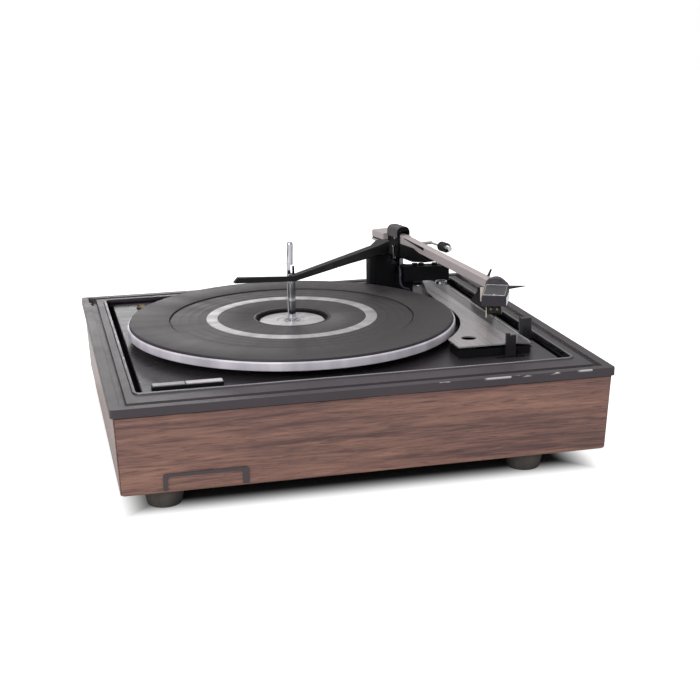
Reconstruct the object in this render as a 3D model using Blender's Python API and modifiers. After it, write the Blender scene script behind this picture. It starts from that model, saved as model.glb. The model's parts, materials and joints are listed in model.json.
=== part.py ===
"""Record changer on a wooden plinth, built from separate parts, in metres with +Z up.

The origin is on the table under the middle of the plinth. The front faces -Y.
"""

import math

import bmesh
import bpy
from mathutils import Matrix, Vector

# Shared clearances
GAP = 0.0003
RUNNING_GAP = 0.0004
OVERRUN = 0.002

# Plinth boards, which lean in a little towards the table
TOP_WIDTH = 0.384
TOP_DEPTH = 0.360
RIM_TOP = 0.084
RIM_FACE = 0.0065
RIM_OVERHANG = 0.002
FOOT_HEIGHT = 0.017
FOOT_RADIUS = 0.015
FOOT_NECK = 0.012
FOOT_INSET_Y = 0.030
FOOT_LEFT_INSET = 0.038
FOOT_RIGHT_INSET = 0.0623
FOOT_TAPER = 0.0018
BOARD_THICKNESS = 0.012
BOARD_LEAN = 0.0025
BOARD_EDGE = 0.0009
CORNER_BLOCK = 0.020
BOTTOM_THICKNESS = 0.004
VENT_LENGTH = 0.070
VENT_WIDTH = 0.005
VENT_PITCH = 0.014
VENT_COUNT = 5
MOTOR_BOARD_TOP = 0.062
MOTOR_BOARD_THICKNESS = 0.006
MOTOR_BOARD_MARGIN = 0.034
GROMMET_INSET = 0.082
GROMMET_Z = 0.040
GROMMET_RADIUS = 0.006
GROMMET_BORE = 0.0025
GROMMET_FLANGE = 0.0085
GROMMET_LIP = 0.0025

# Inlay on the front board
INLAY_INSET = 0.0352
INLAY_WIDTH = 0.0624
INLAY_LOW_Z = 0.0190
INLAY_HIGH_Z = 0.0318
INLAY_LEFT_STRIP = 0.0028
INLAY_TOP_STRIP = 0.0024
INLAY_RIGHT_STRIP = 0.0044
INLAY_THICKNESS = 0.0012
INLAY_CORNER = 0.0015

# Top frame
FRAME_CORNER = 0.003
FRAME_BEVEL = 0.0008
GROOVE_OUTER = 0.0075
GROOVE_INNER = 0.013
GROOVE_DEPTH = 0.003
LEDGE_SIDE = 0.0217
LEDGE_FRONT = 0.034
LEDGE_BACK = 0.0217
OPENING_CORNER = 0.004
BEAD_WIDTH = 0.0024
BEAD_RISE = 0.0011
BEAD_DEPTH = 0.0030
HINGE_INSET_X = 0.008
HINGE_INSET_Y = 0.015
HINGE_WIDTH = 0.004
HINGE_LENGTH = 0.020
HINGE_DEPTH = 0.0045

# Unit plate, a pressed pan hung in the opening
PLATE_FLOAT = 0.0053
PLATE_TOP = 0.081
PLATE_CORNER = 0.008
PLATE_HEIGHT = 0.0075
PLATE_WALL = 0.0016
PLATE_EDGE = 0.0007
SPRING_RADIUS = 0.0065
SPRING_WIRE = 0.0008
SPRING_TURN_COUNT = 3
SPRING_INSET = 0.016
SCREW_LEFT_INSET_X = 0.0260
SCREW_LEFT_INSET_Y = 0.0185
SCREW_RIGHT_INSET = 0.0080
SCREW_HEAD = 0.0052
SCREW_SHANK = 0.0022
SCREW_LENGTH = 0.014
SCREW_CROWN = 0.0022
SCREW_SLOT = 0.0009
SCREW_FLAT_SHARE = 0.55
SCREW_RIM_SHARE = 0.35
BADGE_INSET_X = 0.0075
BADGE_LENGTH = 0.0540
BADGE_INSET_Y = 0.0085
BADGE_WIDTH = 0.0082
BADGE_HEIGHT = 0.0035
BADGE_EDGE = 0.0007

# Platter and its mat
PLATTER_SIDE_MARGIN = 0.0022
PLATTER_FRONT_MARGIN = 0.0050
CONTROL_STRIP = 0.0484
CONTROL_BACK_MARGIN = 0.0093
PLATTER_RADIUS = 0.1397
PLATTER_LOW = 0.0875
PLATTER_EDGE_TOP = 0.0940
PLATTER_BEVEL = 0.0012
PLATTER_WEB_TOP = 0.0937
PLATTER_WEB = 0.0022
PLATTER_SKIRT = 0.0028
PLATTER_LIP = 0.0015
HUB_RADIUS = 0.0105
HUB_LOW = 0.0832
CENTRE_SLOPE = 0.0020
CENTRE_DROP = 0.0033
CENTRE_DISC_TOP = 0.0925
CENTRE_DISC_RADIUS = 0.0280
CENTRE_DISC_BEVEL = 0.0008
MAT_TOP = 0.0965
MAT_STEP = 0.0010
MAT_STEP_RADIUS = 0.104
MAT_RIB_DEPTH = 0.0005
MAT_RIB_COUNT = 3
TRIM_WIDTH = 0.0098
TRIM_OUTER = 0.0731
TRIM_TOP = 0.0960
TRIM_LOW = 0.0947
PINION_TIP = 0.0125
PINION_ROOT = 0.0108
PINION_TOP = 0.0872
PINION_TEETH_COUNT = 14

# Centre bearing and the stepped spindle
TUBE_RADIUS = 0.0075
TUBE_BORE = 0.0039
TUBE_LOW = 0.060
TUBE_TOP = 0.0885
TUBE_FLANGE = 0.018
TUBE_FLANGE_THICKNESS = 0.0025
WASHER_RADIUS = 0.0125
WASHER_THICKNESS = 0.0014
SPINDLE_RADIUS = 0.00355
SPINDLE_LOW = 0.048
SHELF_TOP = 0.133
NOTCH_TOP = 0.141
SPINDLE_TOP = 0.161
FINGER_RADIUS = 0.0026
FINGER_SHIFT = 0.0009
FINGER_LEAN = 0.0004
NECK_WIDTH = 0.0026
NECK_LEFT_SHARE = 0.94
NECK_DEPTH_SHARE = 0.7
PUSHER_WIDTH = 0.0018
PUSHER_THICKNESS = 0.0012
PUSHER_LOW = 0.118
PUSHER_TOP = 0.1405
PUSHER_X = 0.0011
PUSHER_STROKE = 0.0009

# Motor, idler and cam gear
IDLER_RADIUS = 0.017
IDLER_THICKNESS = 0.0045
IDLER_LOW = 0.0862
IDLER_PIN = 0.0020
IDLER_TREAD_SHARE = 0.8
IDLER_DISH_SHARE = 0.75
IDLER_BOSS_SHARE = 0.35
IDLER_EYE_SHARE = 0.3
IDLER_GAP = 0.0007
IDLER_ANGLE = math.radians(150.0)
MOTOR_ANGLE = math.radians(-62.0)
PULLEY_RADIUS = 0.0042
PULLEY_STEP = 0.0011
PULLEY_STEP_HEIGHT = 0.0024
PULLEY_TOP = 0.0908
MOTOR_SHAFT = 0.0016
ROTOR_RADIUS = 0.0130
ROTOR_LOW = 0.0400
ROTOR_TOP = 0.0560
STATOR_GAP = 0.0005
STATOR_WIDTH = 0.050
STATOR_FRONT = 0.0320
STATOR_BACK = 0.0175
STATOR_LOW = 0.0390
STATOR_TOP = 0.0550
COIL_WIDTH = 0.026
COIL_FRONT = 0.0360
LIMB_BACK = 0.0205
WINDOW_BACK = 0.0155
COIL_LOW = 0.0335
COIL_TOP = 0.0600
BRACKET_LOW = 0.0610
BRACKET_THICKNESS = 0.0018
BRACKET_LENGTH = 0.048
BRACKET_WIDTH = 0.016
BRACKET_POST = 0.0035
IDLER_ARM_WIDTH = 0.008
IDLER_ARM_THICKNESS = 0.0022
IDLER_ARM_LENGTH = 0.034
IDLER_ARM_ANGLE = math.radians(6.0)
CAM_TIP = 0.0380
CAM_ROOT = 0.0360
CAM_THICKNESS = 0.0026
CAM_LOW = 0.0836
CAM_HUB = 0.0065
CAM_PIN = 0.0030
CAM_MESH = 0.0010
CAM_ANGLE = math.radians(38.0)
CAM_TEETH_COUNT = 36
CAM_GAP_COUNT = 5
CAM_TRACK_RADIUS = 0.026
CAM_TRACK_WIDTH = 0.0035
CAM_TRACK_DEPTH = 0.0012

# Control housing and its brushed plate
CONTROL_LEFT_INSET = 0.0780
CONTROL_FRONT_MARGIN = 0.0262
CONTROL_RIGHT_INSET = 0.0160
CONTROL_REAR_INSET = 0.0630
CONTROL_ARC_GAP = 0.0043
CONTROL_ARC_END_SHARE = 1 / 3
CONTROL_NOSE_INSET_X = 0.0310
CONTROL_NOSE_INSET_Y = 0.0160
CONTROL_SHOULDER_INSET_X = 0.0213
CONTROL_SHOULDER_INSET_Y = 0.0360
CONTROL_TAIL_INSET_X = 0.0123
CONTROL_TAIL_INSET_Y = 0.0460
CONTROL_WAIST_INSET_X = 0.0430
CONTROL_WAIST_INSET_Y = 0.0742
CONTROL_TOP = 0.0910
CONTROL_SHEET = 0.0011
CONTROL_CREASE_INSET = 0.0290
CONTROL_FALL = 0.0016
CONTROL_SETBACK = 0.0010
CONTROL_HOLE_STAND = 0.01852
CONTROL_HOLE_TURN = math.radians(-36.674)
CONTROL_HOLE_RADIUS = 0.0062
CONTROL_HOLE_DEPTH = 0.003

# Front and right levers
FRONT_LEVER_INSET = 0.0395
FRONT_LEVER_WIDTH = 0.0085
FRONT_LEVER_STAND = 0.0030
FRONT_LEVER_STEP_SHARE = 0.4
FRONT_LEVER_TOP = 0.1000
FRONT_LEVER_THICKNESS = 0.0022
FRONT_LEVER_STEP = 0.0016
FRONT_LEVER_STRIP = 0.0018
FRONT_LEVER_REACH = 0.0335
FRONT_LEVER_PIN = 0.003
FRONT_LEVER_TRAVEL_X = 0.006
RIGHT_LEVER_INSET = 0.0098
RIGHT_LEVER_STAND = 0.0210
RIGHT_LEVER_WIDTH = 0.0094
RIGHT_LEVER_LENGTH = 0.0070
RIGHT_LEVER_TOP = 0.1030
RIGHT_LEVER_LOW = 0.0830
RIGHT_LEVER_STEM = 0.0030
RIGHT_LEVER_FOOT = 0.0080
RIGHT_LEVER_FOOT_THICKNESS = 0.0014
RIGHT_LEVER_TRAVEL = 0.010
RIGHT_LEVER_ROUND = 0.0008

# Tonearm, measured along its own line from the pivot
ARM_INSET_X = 0.0530
ARM_INSET_Y = 0.0170
ARM_YAW = math.radians(-78.1)
ARM_SLOPE = math.radians(4.75)
ARM_AXIS_Z = 0.1330
BEAM_SIZE = 0.0080
BEAM_REAR = 0.0120
BEAM_LENGTH = 0.1700
BEAM_ROUND = 0.0008
BEAM_STUB_RADIUS = 0.0024
BEAM_STUB_DROP = 0.0020
BEAM_STUB_END = 0.0370
GIMBAL_PIN = 0.0014
YOKE_HALF_WIDTH = 0.0063
YOKE_WINDOW_HALF = 0.0046
YOKE_FRONT = 0.0080
YOKE_REAR = 0.0130
YOKE_LOW = 0.1150
YOKE_TOP = 0.1435
YOKE_WINDOW_LOW = 0.1255
YOKE_WINDOW_TOP = 0.1400
YOKE_ROUND = 0.0045
COLUMN_RADIUS = 0.0030
COLUMN_LOW = 0.0700
ROD_RADIUS = 0.0011
ROD_HEAD = 0.00165
ROD_FRONT = 0.0035
ROD_LOW = 0.1135
ROD_TOP = 0.1260
WEIGHT_FRONT = 0.0150
WEIGHT_REAR = 0.0395
WEIGHT_WIDTH = 0.0215
WEIGHT_LOW = 0.1225
WEIGHT_TOP = 0.1357
WEIGHT_ROUND = 0.0022
SADDLE_START = 0.0095
SADDLE_FRONT = 0.0350
SADDLE_END = 0.0600
SADDLE_LOW = 0.1154
SADDLE_TOP = 0.1285
SADDLE_TIP_LOW = 0.1195
SADDLE_HALF_WIDTH = 0.0056
ARM_TAB_INSET = 0.0040
ARM_TAB_RISE = 0.0145
ARM_TAB_WIDTH = 0.0030
ARM_TAB_THICKNESS = 0.0008

# Headshell and cartridge, turned towards the groove
SHELL_YAW = math.radians(26.0)
SHELL_LEAD = 0.02947
SHELL_SHIFT = 0.01853
SHELL_WIDTH = 0.0205
SHELL_LENGTH = 0.0320
SHELL_FRONT_TOP = 0.1175
SHELL_CROWN = 0.0016
SHELL_RISE = 0.0030
SHELL_RISE_SHARE = 0.8
SHELL_FACE = 0.0086
SHELL_WALL = 0.0014
LIFT_REACH = 0.0135
LIFT_ROOT = 0.0030
LIFT_TIP = 0.0006
LIFT_INSET = 0.0120
LIFT_TIP_INSET = 0.0144
LIFT_ROOT_RADIUS = 0.0021
LIFT_Z = 0.1180
CARTRIDGE_WIDTH = 0.0120
CARTRIDGE_LENGTH = 0.0200
CARTRIDGE_LOW = 0.1000
CARTRIDGE_INSET = 0.0040
STYLUS_RADIUS = 0.0005
STYLUS_DROP = 0.0028
CLIP_THICKNESS = 0.0007
CLIP_WIDTH = 0.0060
CLIP_LOW = 0.0974
CLIP_TOP = 0.1070
CLIP_INSET = 0.0060

# Force knob beside the beam
KNOB_REACH = 0.0446
KNOB_SHIFT = 0.0196
KNOB_RADIUS = 0.0046
KNOB_LENGTH = 0.0130
KNOB_Z = 0.1301
KNOB_RIB_COUNT = 20
KNOB_RIB_DEPTH_SHARE = 0.90
KNOB_SHAFT = 0.0014
KNOB_TIP_RADIUS = 0.0030
KNOB_TIP_LENGTH = 0.0045
KNOB_TIP_END = 0.00225
KNOB_LUG = 0.0026
KNOB_SHAFT_REACH = 0.0190

# Arm base, cue pin and overarm
BASE_LOW_TOP = 0.1125
BASE_FLARE = 0.0030
BASE_FLARE_HEIGHT = 0.0050
BASE_LEFT_INSET = 0.0888
BASE_FRONT_INSET = 0.0410
BASE_RIGHT_INSET = 0.0615
BASE_BACK_INSET = 0.0180
BASE_CORNER = 0.0060
PILLAR_TOP = 0.1213
PILLAR_FRONT_WIDTH = 0.0178
PILLAR_WIDTH = 0.0228
PILLAR_SHOULDER_DEPTH = 0.0110
PILLAR_BACK_WIDTH = 0.0200
BOSS_RADIUS = 0.0095
BOSS_TOP = 0.1050
BRIDGE_TOP = 0.1022
BRIDGE_LAP = 0.0060
WING_FRONT_INSET = 0.0475
WING_BACK_INSET = 0.0340
WING_LEFT_INSET = 0.0580
WING_RIGHT_INSET = 0.0130
WING_LOW = 0.0955
WING_TOP = 0.1100
WING_TAIL_DROP = 0.0015
STUD_RADIUS = 0.0028
STUD_HEIGHT = 0.0020
STUD_PLACE_SHARES = (0.28, 0.42, 0.72)
CUE_INSET_X = 0.0549
CUE_INSET_Y = 0.0280
CUE_RADIUS = 0.0017
CUE_LOW = 0.0900
CUE_GUIDE_RADIUS = 0.0032
CUE_GUIDE_TOP = 0.1030
POST_INSET_X = 0.0755
POST_INSET_Y = 0.0339
POST_RADIUS = 0.0036
POST_LOW = 0.0900
POST_TOP = 0.1275
OVERARM_TOP = 0.1304
OVERARM_TIP_THICKNESS = 0.0044
OVERARM_ROOT_LOW = 0.1222
OVERARM_BEND_SHIFT_X = 0.0066
OVERARM_BEND_SHIFT_Y = 0.0131
OVERARM_SPLAY = math.radians(0.1834)
OVERARM_TIP_REACH = 0.0418
OVERARM_TIP_SHIFT = 0.0101
OVERARM_TIP_WIDTH = 0.0060
OVERARM_CHAMFER = 0.0038
OVERARM_WIDTH = 0.0058
OVERARM_NECK_GAP = 0.02505
OVERARM_NECK_WIDTH = 0.0080
OVERARM_HUB_RADIUS = 0.0068
OVERARM_HUB_SWEEP = math.radians(108.0)
OVERARM_RELIEF_GAP = 0.0109
OVERARM_TIP_SHARE = 0.3

# Arm rest
REST_INSET = 0.0148
REST_THICKNESS = 0.0030
REST_FRONT_LEAD = 0.0160
REST_APEX_LEAD = 0.0360
REST_BACK_LEAD = 0.0790
REST_TOP = 0.1150
REST_TOE = 0.0040
REST_FOOT_INSET = 0.0050
REST_SHELF_REACH = 0.0107
REST_SHELF_LOW = 0.1100
REST_SHELF_TOP = 0.1135
REST_SHELF_DEPTH = 0.0060
LINER_REACH = 0.0102
LINER_WIDTH = 0.0055
LINER_THICKNESS = 0.0024
LINER_LOW = 0.1020
LINER_TOP = 0.1148

# Places that follow from the sizes above
FOOT_Y = TOP_DEPTH / 2 - FOOT_INSET_Y
FOOT_LEFT_X = FOOT_LEFT_INSET - TOP_WIDTH / 2
FOOT_RIGHT_X = TOP_WIDTH / 2 - FOOT_RIGHT_INSET
GROMMET_X = GROMMET_INSET - TOP_WIDTH / 2
INLAY_LEFT_X = INLAY_INSET - TOP_WIDTH / 2
INLAY_RIGHT_X = INLAY_LEFT_X + INLAY_WIDTH
OPENING_HALF_WIDTH = TOP_WIDTH / 2 - LEDGE_SIDE
OPENING_FRONT_Y = LEDGE_FRONT - TOP_DEPTH / 2
OPENING_BACK_Y = TOP_DEPTH / 2 - LEDGE_BACK
HINGE_X = TOP_WIDTH / 2 - HINGE_INSET_X
HINGE_Y = TOP_DEPTH / 2 - HINGE_INSET_Y
PLATE_HALF_WIDTH = OPENING_HALF_WIDTH - PLATE_FLOAT
PLATE_FRONT_Y = OPENING_FRONT_Y + PLATE_FLOAT
PLATE_BACK_Y = OPENING_BACK_Y - PLATE_FLOAT
SCREW_LEFT = (SCREW_LEFT_INSET_X - PLATE_HALF_WIDTH, PLATE_BACK_Y - SCREW_LEFT_INSET_Y)
SCREW_RIGHT = (PLATE_HALF_WIDTH - SCREW_RIGHT_INSET, PLATE_BACK_Y - SCREW_RIGHT_INSET)
BADGE_LEFT_X = BADGE_INSET_X - PLATE_HALF_WIDTH
BADGE_RIGHT_X = BADGE_LEFT_X + BADGE_LENGTH
BADGE_FRONT_Y = PLATE_FRONT_Y + BADGE_INSET_Y
BADGE_BACK_Y = BADGE_FRONT_Y + BADGE_WIDTH
PLATTER_X = PLATTER_SIDE_MARGIN + PLATTER_RADIUS - PLATE_HALF_WIDTH
PLATTER_Y = PLATE_FRONT_Y + PLATTER_FRONT_MARGIN + PLATTER_RADIUS
CONTROL_SIDE_X = PLATTER_X + PLATTER_RADIUS + CONTROL_STRIP
CONTROL_BACK_Y = PLATTER_Y + PLATTER_RADIUS + CONTROL_BACK_MARGIN
CENTRE_RADIUS = CENTRE_DISC_RADIUS + GAP + CENTRE_SLOPE
TRIM_INNER = TRIM_OUTER - TRIM_WIDTH
CONTROL_LEFT_X = CONTROL_SIDE_X - CONTROL_LEFT_INSET
CONTROL_FRONT_Y = PLATE_FRONT_Y + CONTROL_FRONT_MARGIN
CONTROL_RIGHT_X = CONTROL_SIDE_X - CONTROL_RIGHT_INSET
CONTROL_REAR_Y = CONTROL_BACK_Y - CONTROL_REAR_INSET
CONTROL_ARC_RADIUS = PLATTER_RADIUS + CONTROL_ARC_GAP
CONTROL_NOSE_X = CONTROL_SIDE_X - CONTROL_NOSE_INSET_X
CONTROL_NOSE_Y = CONTROL_BACK_Y - CONTROL_NOSE_INSET_Y
CONTROL_SHOULDER_X = CONTROL_SIDE_X - CONTROL_SHOULDER_INSET_X
CONTROL_SHOULDER_Y = CONTROL_BACK_Y - CONTROL_SHOULDER_INSET_Y
CONTROL_TAIL_X = CONTROL_SIDE_X - CONTROL_TAIL_INSET_X
CONTROL_TAIL_Y = CONTROL_BACK_Y - CONTROL_TAIL_INSET_Y
CONTROL_WAIST_X = CONTROL_SIDE_X - CONTROL_WAIST_INSET_X
CONTROL_WAIST_Y = CONTROL_BACK_Y - CONTROL_WAIST_INSET_Y
CONTROL_CREASE_X = CONTROL_SIDE_X - CONTROL_CREASE_INSET
CONTROL_HOLE_REACH = PLATTER_RADIUS + CONTROL_HOLE_STAND
CONTROL_HOLE_X = PLATTER_X + CONTROL_HOLE_REACH * math.cos(CONTROL_HOLE_TURN)
CONTROL_HOLE_Y = PLATTER_Y + CONTROL_HOLE_REACH * math.sin(CONTROL_HOLE_TURN)
FRONT_LEVER_LEFT_X = CONTROL_SIDE_X - FRONT_LEVER_INSET
FRONT_LEVER_RIGHT_X = FRONT_LEVER_LEFT_X + FRONT_LEVER_WIDTH
FRONT_LEVER_Y = CONTROL_FRONT_Y - FRONT_LEVER_STAND
FRONT_LEVER_PIVOT_Y = FRONT_LEVER_Y + FRONT_LEVER_REACH
RIGHT_LEVER_X = CONTROL_SIDE_X - RIGHT_LEVER_INSET
ARM_X = CONTROL_SIDE_X - ARM_INSET_X
ARM_Y = CONTROL_BACK_Y - ARM_INSET_Y
ARM_TAB_REACH = BEAM_LENGTH - ARM_TAB_INSET
SHELL_REACH = BEAM_LENGTH + SHELL_LEAD
SHELL_FRONT_X = ARM_X + SHELL_REACH * math.cos(ARM_YAW) + SHELL_SHIFT * math.sin(ARM_YAW)
SHELL_FRONT_Y = ARM_Y + SHELL_REACH * math.sin(ARM_YAW) - SHELL_SHIFT * math.cos(ARM_YAW)
RIGHT_LEVER_Y = SHELL_FRONT_Y - RIGHT_LEVER_STAND
BASE_LEFT_X = CONTROL_SIDE_X - BASE_LEFT_INSET
BASE_FRONT_Y = CONTROL_BACK_Y - BASE_FRONT_INSET
BASE_RIGHT_X = CONTROL_SIDE_X - BASE_RIGHT_INSET
BASE_BACK_Y = CONTROL_BACK_Y - BASE_BACK_INSET
PILLAR_FRONT_X = BASE_LEFT_X + PILLAR_FRONT_WIDTH
PILLAR_SHOULDER_X = BASE_LEFT_X + PILLAR_WIDTH
PILLAR_SHOULDER_Y = BASE_FRONT_Y + PILLAR_SHOULDER_DEPTH
PILLAR_BACK_X = BASE_LEFT_X + PILLAR_BACK_WIDTH
WING_FRONT_Y = CONTROL_BACK_Y - WING_FRONT_INSET
WING_BACK_Y = CONTROL_BACK_Y - WING_BACK_INSET
WING_LEFT_X = CONTROL_SIDE_X - WING_LEFT_INSET
WING_RIGHT_X = CONTROL_SIDE_X - WING_RIGHT_INSET
CUE_X = CONTROL_SIDE_X - CUE_INSET_X
CUE_Y = CONTROL_BACK_Y - CUE_INSET_Y
POST_X = CONTROL_SIDE_X - POST_INSET_X
POST_Y = CONTROL_BACK_Y - POST_INSET_Y
OVERARM_BEND_X = PLATTER_X - OVERARM_BEND_SHIFT_X
OVERARM_BEND_Y = PLATTER_Y - OVERARM_BEND_SHIFT_Y
OVERARM_TIP_X = OVERARM_BEND_X - OVERARM_TIP_REACH
OVERARM_TIP_Y = OVERARM_BEND_Y + OVERARM_TIP_SHIFT
OVERARM_SPAN_X = POST_X - OVERARM_BEND_X
OVERARM_SPAN_Y = POST_Y - OVERARM_BEND_Y
OVERARM_HEADING = math.atan2(OVERARM_SPAN_Y, OVERARM_SPAN_X) - OVERARM_SPLAY
OVERARM_NECK = math.hypot(OVERARM_SPAN_X, OVERARM_SPAN_Y) - OVERARM_NECK_GAP
REST_X = CONTROL_SIDE_X - REST_INSET
REST_FRONT_Y = ARM_Y - BEAM_LENGTH + REST_FRONT_LEAD
REST_APEX_Y = ARM_Y - BEAM_LENGTH + REST_APEX_LEAD
REST_BACK_Y = ARM_Y - BEAM_LENGTH + REST_BACK_LEAD
REST_FOOT_X = CONTROL_SIDE_X - REST_FOOT_INSET
REST_SHELF_LEFT_X = REST_X - REST_SHELF_REACH
REST_SHELF_Y = REST_FRONT_Y + REST_SHELF_DEPTH
LINER_LEFT_X = REST_X - LINER_REACH
LINER_RIGHT_X = LINER_LEFT_X + LINER_WIDTH

PART_COLLECTION = "record_changer"
CUTTER_COLLECTION = "cutters"


# Building helpers

def clear_scene():
    for obj in list(bpy.data.objects):
        bpy.data.objects.remove(obj, do_unlink=True)


def new_collection(name):
    collection = bpy.data.collections.get(name)
    if collection is None:
        collection = bpy.data.collections.new(name)
        bpy.context.scene.collection.children.link(collection)
    return collection


def material(name, colour, roughness, metallic=0.0):
    mat = bpy.data.materials.get(name)
    if mat is None:
        mat = bpy.data.materials.new(name)
        mat.use_nodes = True
        shader = mat.node_tree.nodes["Principled BSDF"]
        shader.inputs["Base Color"].default_value = (*colour, 1.0)
        shader.inputs["Roughness"].default_value = roughness
        shader.inputs["Metallic"].default_value = metallic
    return mat


def add_object(name, mesh, mat, location=(0, 0, 0), parent=None):
    obj = bpy.data.objects.new(name, mesh)
    new_collection(PART_COLLECTION).objects.link(obj)
    obj.location = location
    obj.parent = parent
    if mat is not None:
        mesh.materials.append(mat)
    return obj


def from_bmesh(name, bm, mat, location=(0, 0, 0), parent=None):
    mesh = bpy.data.meshes.new(name)
    bmesh.ops.recalc_face_normals(bm, faces=bm.faces)
    bm.to_mesh(mesh)
    bm.free()
    return add_object(name, mesh, mat, location, parent)


def smooth(obj, angle=math.radians(35.0)):
    obj.data.shade_smooth()
    obj.data.set_sharp_from_angle(angle=angle)
    return obj


def box(name, low, high, mat, parent=None):
    low = Vector(low)
    high = Vector(high)
    bm = bmesh.new()
    bmesh.ops.create_cube(bm, size=1.0)
    bmesh.ops.scale(bm, vec=high - low, verts=bm.verts)
    return from_bmesh(name, bm, mat, (low + high) / 2, parent)


def cylinder(name, centre, radius, low, high, mat, segments=20, top_radius=None, parent=None):
    top_radius = radius if top_radius is None else top_radius
    bm = bmesh.new()
    bmesh.ops.create_cone(bm, cap_ends=True, segments=segments, radius1=radius,
                          radius2=top_radius, depth=high - low)
    place = (centre[0], centre[1], (low + high) / 2)
    return smooth(from_bmesh(name, bm, mat, place, parent))


def rod(name, start, end, radius, mat, segments=16, end_radius=None, parent=None):
    start = Vector(start)
    end = Vector(end)
    end_radius = radius if end_radius is None else end_radius
    bm = bmesh.new()
    bmesh.ops.create_cone(bm, cap_ends=True, segments=segments, radius1=radius,
                          radius2=end_radius, depth=(end - start).length)
    obj = smooth(from_bmesh(name, bm, mat, (start + end) / 2, parent))
    obj.rotation_mode = "QUATERNION"
    obj.rotation_quaternion = (end - start).to_track_quat("Z", "Y")
    return obj


def turned(name, profile, centre, mat, steps=48, closed=True, parent=None):
    """Turn a profile of (radius, height) points that runs down its outer side."""
    bm = bmesh.new()
    verts = [bm.verts.new((radius, 0, height)) for radius, height in profile]
    for first, second in zip(verts, verts[1:]):
        bm.edges.new((first, second))
    if closed:
        bm.edges.new((verts[-1], verts[0]))
    mesh = bpy.data.meshes.new(name)
    bm.to_mesh(mesh)
    bm.free()
    obj = add_object(name, mesh, mat, (centre[0], centre[1], 0), parent)
    screw = obj.modifiers.new("turn", "SCREW")
    screw.axis = "Z"
    screw.angle = math.tau
    screw.steps = steps
    screw.render_steps = steps
    screw.use_merge_vertices = True
    screw.merge_threshold = 0.00001
    screw.use_normal_calculate = False
    screw.use_smooth_shade = True
    return obj


def polar(centre_x, centre_y, radius, angle):
    return (centre_x + radius * math.cos(angle), centre_y + radius * math.sin(angle))


def arc(centre_x, centre_y, radius, start, end, count=5):
    angles = [start + (end - start) * step / count for step in range(count + 1)]
    return [polar(centre_x, centre_y, radius, angle) for angle in angles]


def rounded_rectangle(left, front, right, back, radius, count=3):
    quarter = math.pi / 2
    points = arc(right - radius, back - radius, radius, 0, quarter, count)
    points += arc(left + radius, back - radius, radius, quarter, 2 * quarter, count)
    points += arc(left + radius, front + radius, radius, 2 * quarter, 3 * quarter, count)
    points += arc(right - radius, front + radius, radius, 3 * quarter, 4 * quarter, count)
    return points


def curve_to_mesh(obj):
    """Replace a curve object with its welded mesh, at the same place."""
    bpy.context.view_layer.update()
    graph = bpy.context.evaluated_depsgraph_get()
    mesh = bpy.data.meshes.new_from_object(obj.evaluated_get(graph))
    bm = bmesh.new()
    bm.from_mesh(mesh)
    bmesh.ops.remove_doubles(bm, verts=bm.verts, dist=0.00001)
    bm.to_mesh(mesh)
    bm.free()
    name = obj.name
    place = obj.matrix_world.copy()
    parent = obj.parent
    mats = [mat for mat in obj.data.materials]
    bpy.data.objects.remove(obj, do_unlink=True)
    solid = bpy.data.objects.new(name, mesh)
    new_collection(PART_COLLECTION).objects.link(solid)
    solid.parent = parent
    solid.matrix_world = place
    mesh.materials.clear()
    for mat in mats:
        mesh.materials.append(mat)
    return solid


def plate(name, outlines, low, high, mat, parent=None, turn=None):
    """Extrude closed flat outlines from one height to another; inner ones are holes."""
    curve = bpy.data.curves.new(name, "CURVE")
    curve.dimensions = "2D"
    curve.fill_mode = "BOTH"
    curve.extrude = (high - low) / 2
    for outline in outlines:
        spline = curve.splines.new("POLY")
        spline.points.add(len(outline) - 1)
        for point, (x, y) in zip(spline.points, outline):
            point.co = (x, y, 0, 1)
        spline.use_cyclic_u = True
    if mat is not None:
        curve.materials.append(mat)
    obj = bpy.data.objects.new(name, curve)
    new_collection(PART_COLLECTION).objects.link(obj)
    obj.parent = parent
    obj.location = (0, 0, (low + high) / 2)
    if turn is not None:
        obj.matrix_local = turn @ Matrix.Translation((0, 0, (low + high) / 2))
    return curve_to_mesh(obj)


def upright_along_x(shift):
    """Stand an outline of (y, z) points up, so that it is extruded along X."""
    return Matrix(((0, 0, 1, shift), (1, 0, 0, 0), (0, 1, 0, 0), (0, 0, 0, 1)))


def upright_along_y(shift):
    """Stand an outline of (x, z) points up, so that it is extruded along -Y."""
    return Matrix(((1, 0, 0, 0), (0, 0, -1, shift), (0, 1, 0, 0), (0, 0, 0, 1)))


def retire(cutter):
    """Keep a cutter out of the picture."""
    new_collection(PART_COLLECTION).objects.unlink(cutter)
    new_collection(CUTTER_COLLECTION).objects.link(cutter)
    cutter.hide_render = True
    cutter.display_type = "WIRE"
    cutter.data.materials.clear()


def combine(target, tools, operation):
    for tool in tools:
        retire(tool)
        boolean = target.modifiers.new(operation.lower(), "BOOLEAN")
        boolean.operation = operation
        boolean.solver = "EXACT"
        boolean.object = tool
    return target


def cut(target, *tools):
    return combine(target, tools, "DIFFERENCE")


def fuse(target, *tools):
    return combine(target, tools, "UNION")


def keep_common(target, *tools):
    return combine(target, tools, "INTERSECT")


def soften(obj, width, segments=1, angle=math.radians(40.0)):
    bevel = obj.modifiers.new("soften", "BEVEL")
    bevel.width = width
    bevel.segments = segments
    bevel.limit_method = "ANGLE"
    bevel.angle_limit = angle
    return obj


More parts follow.
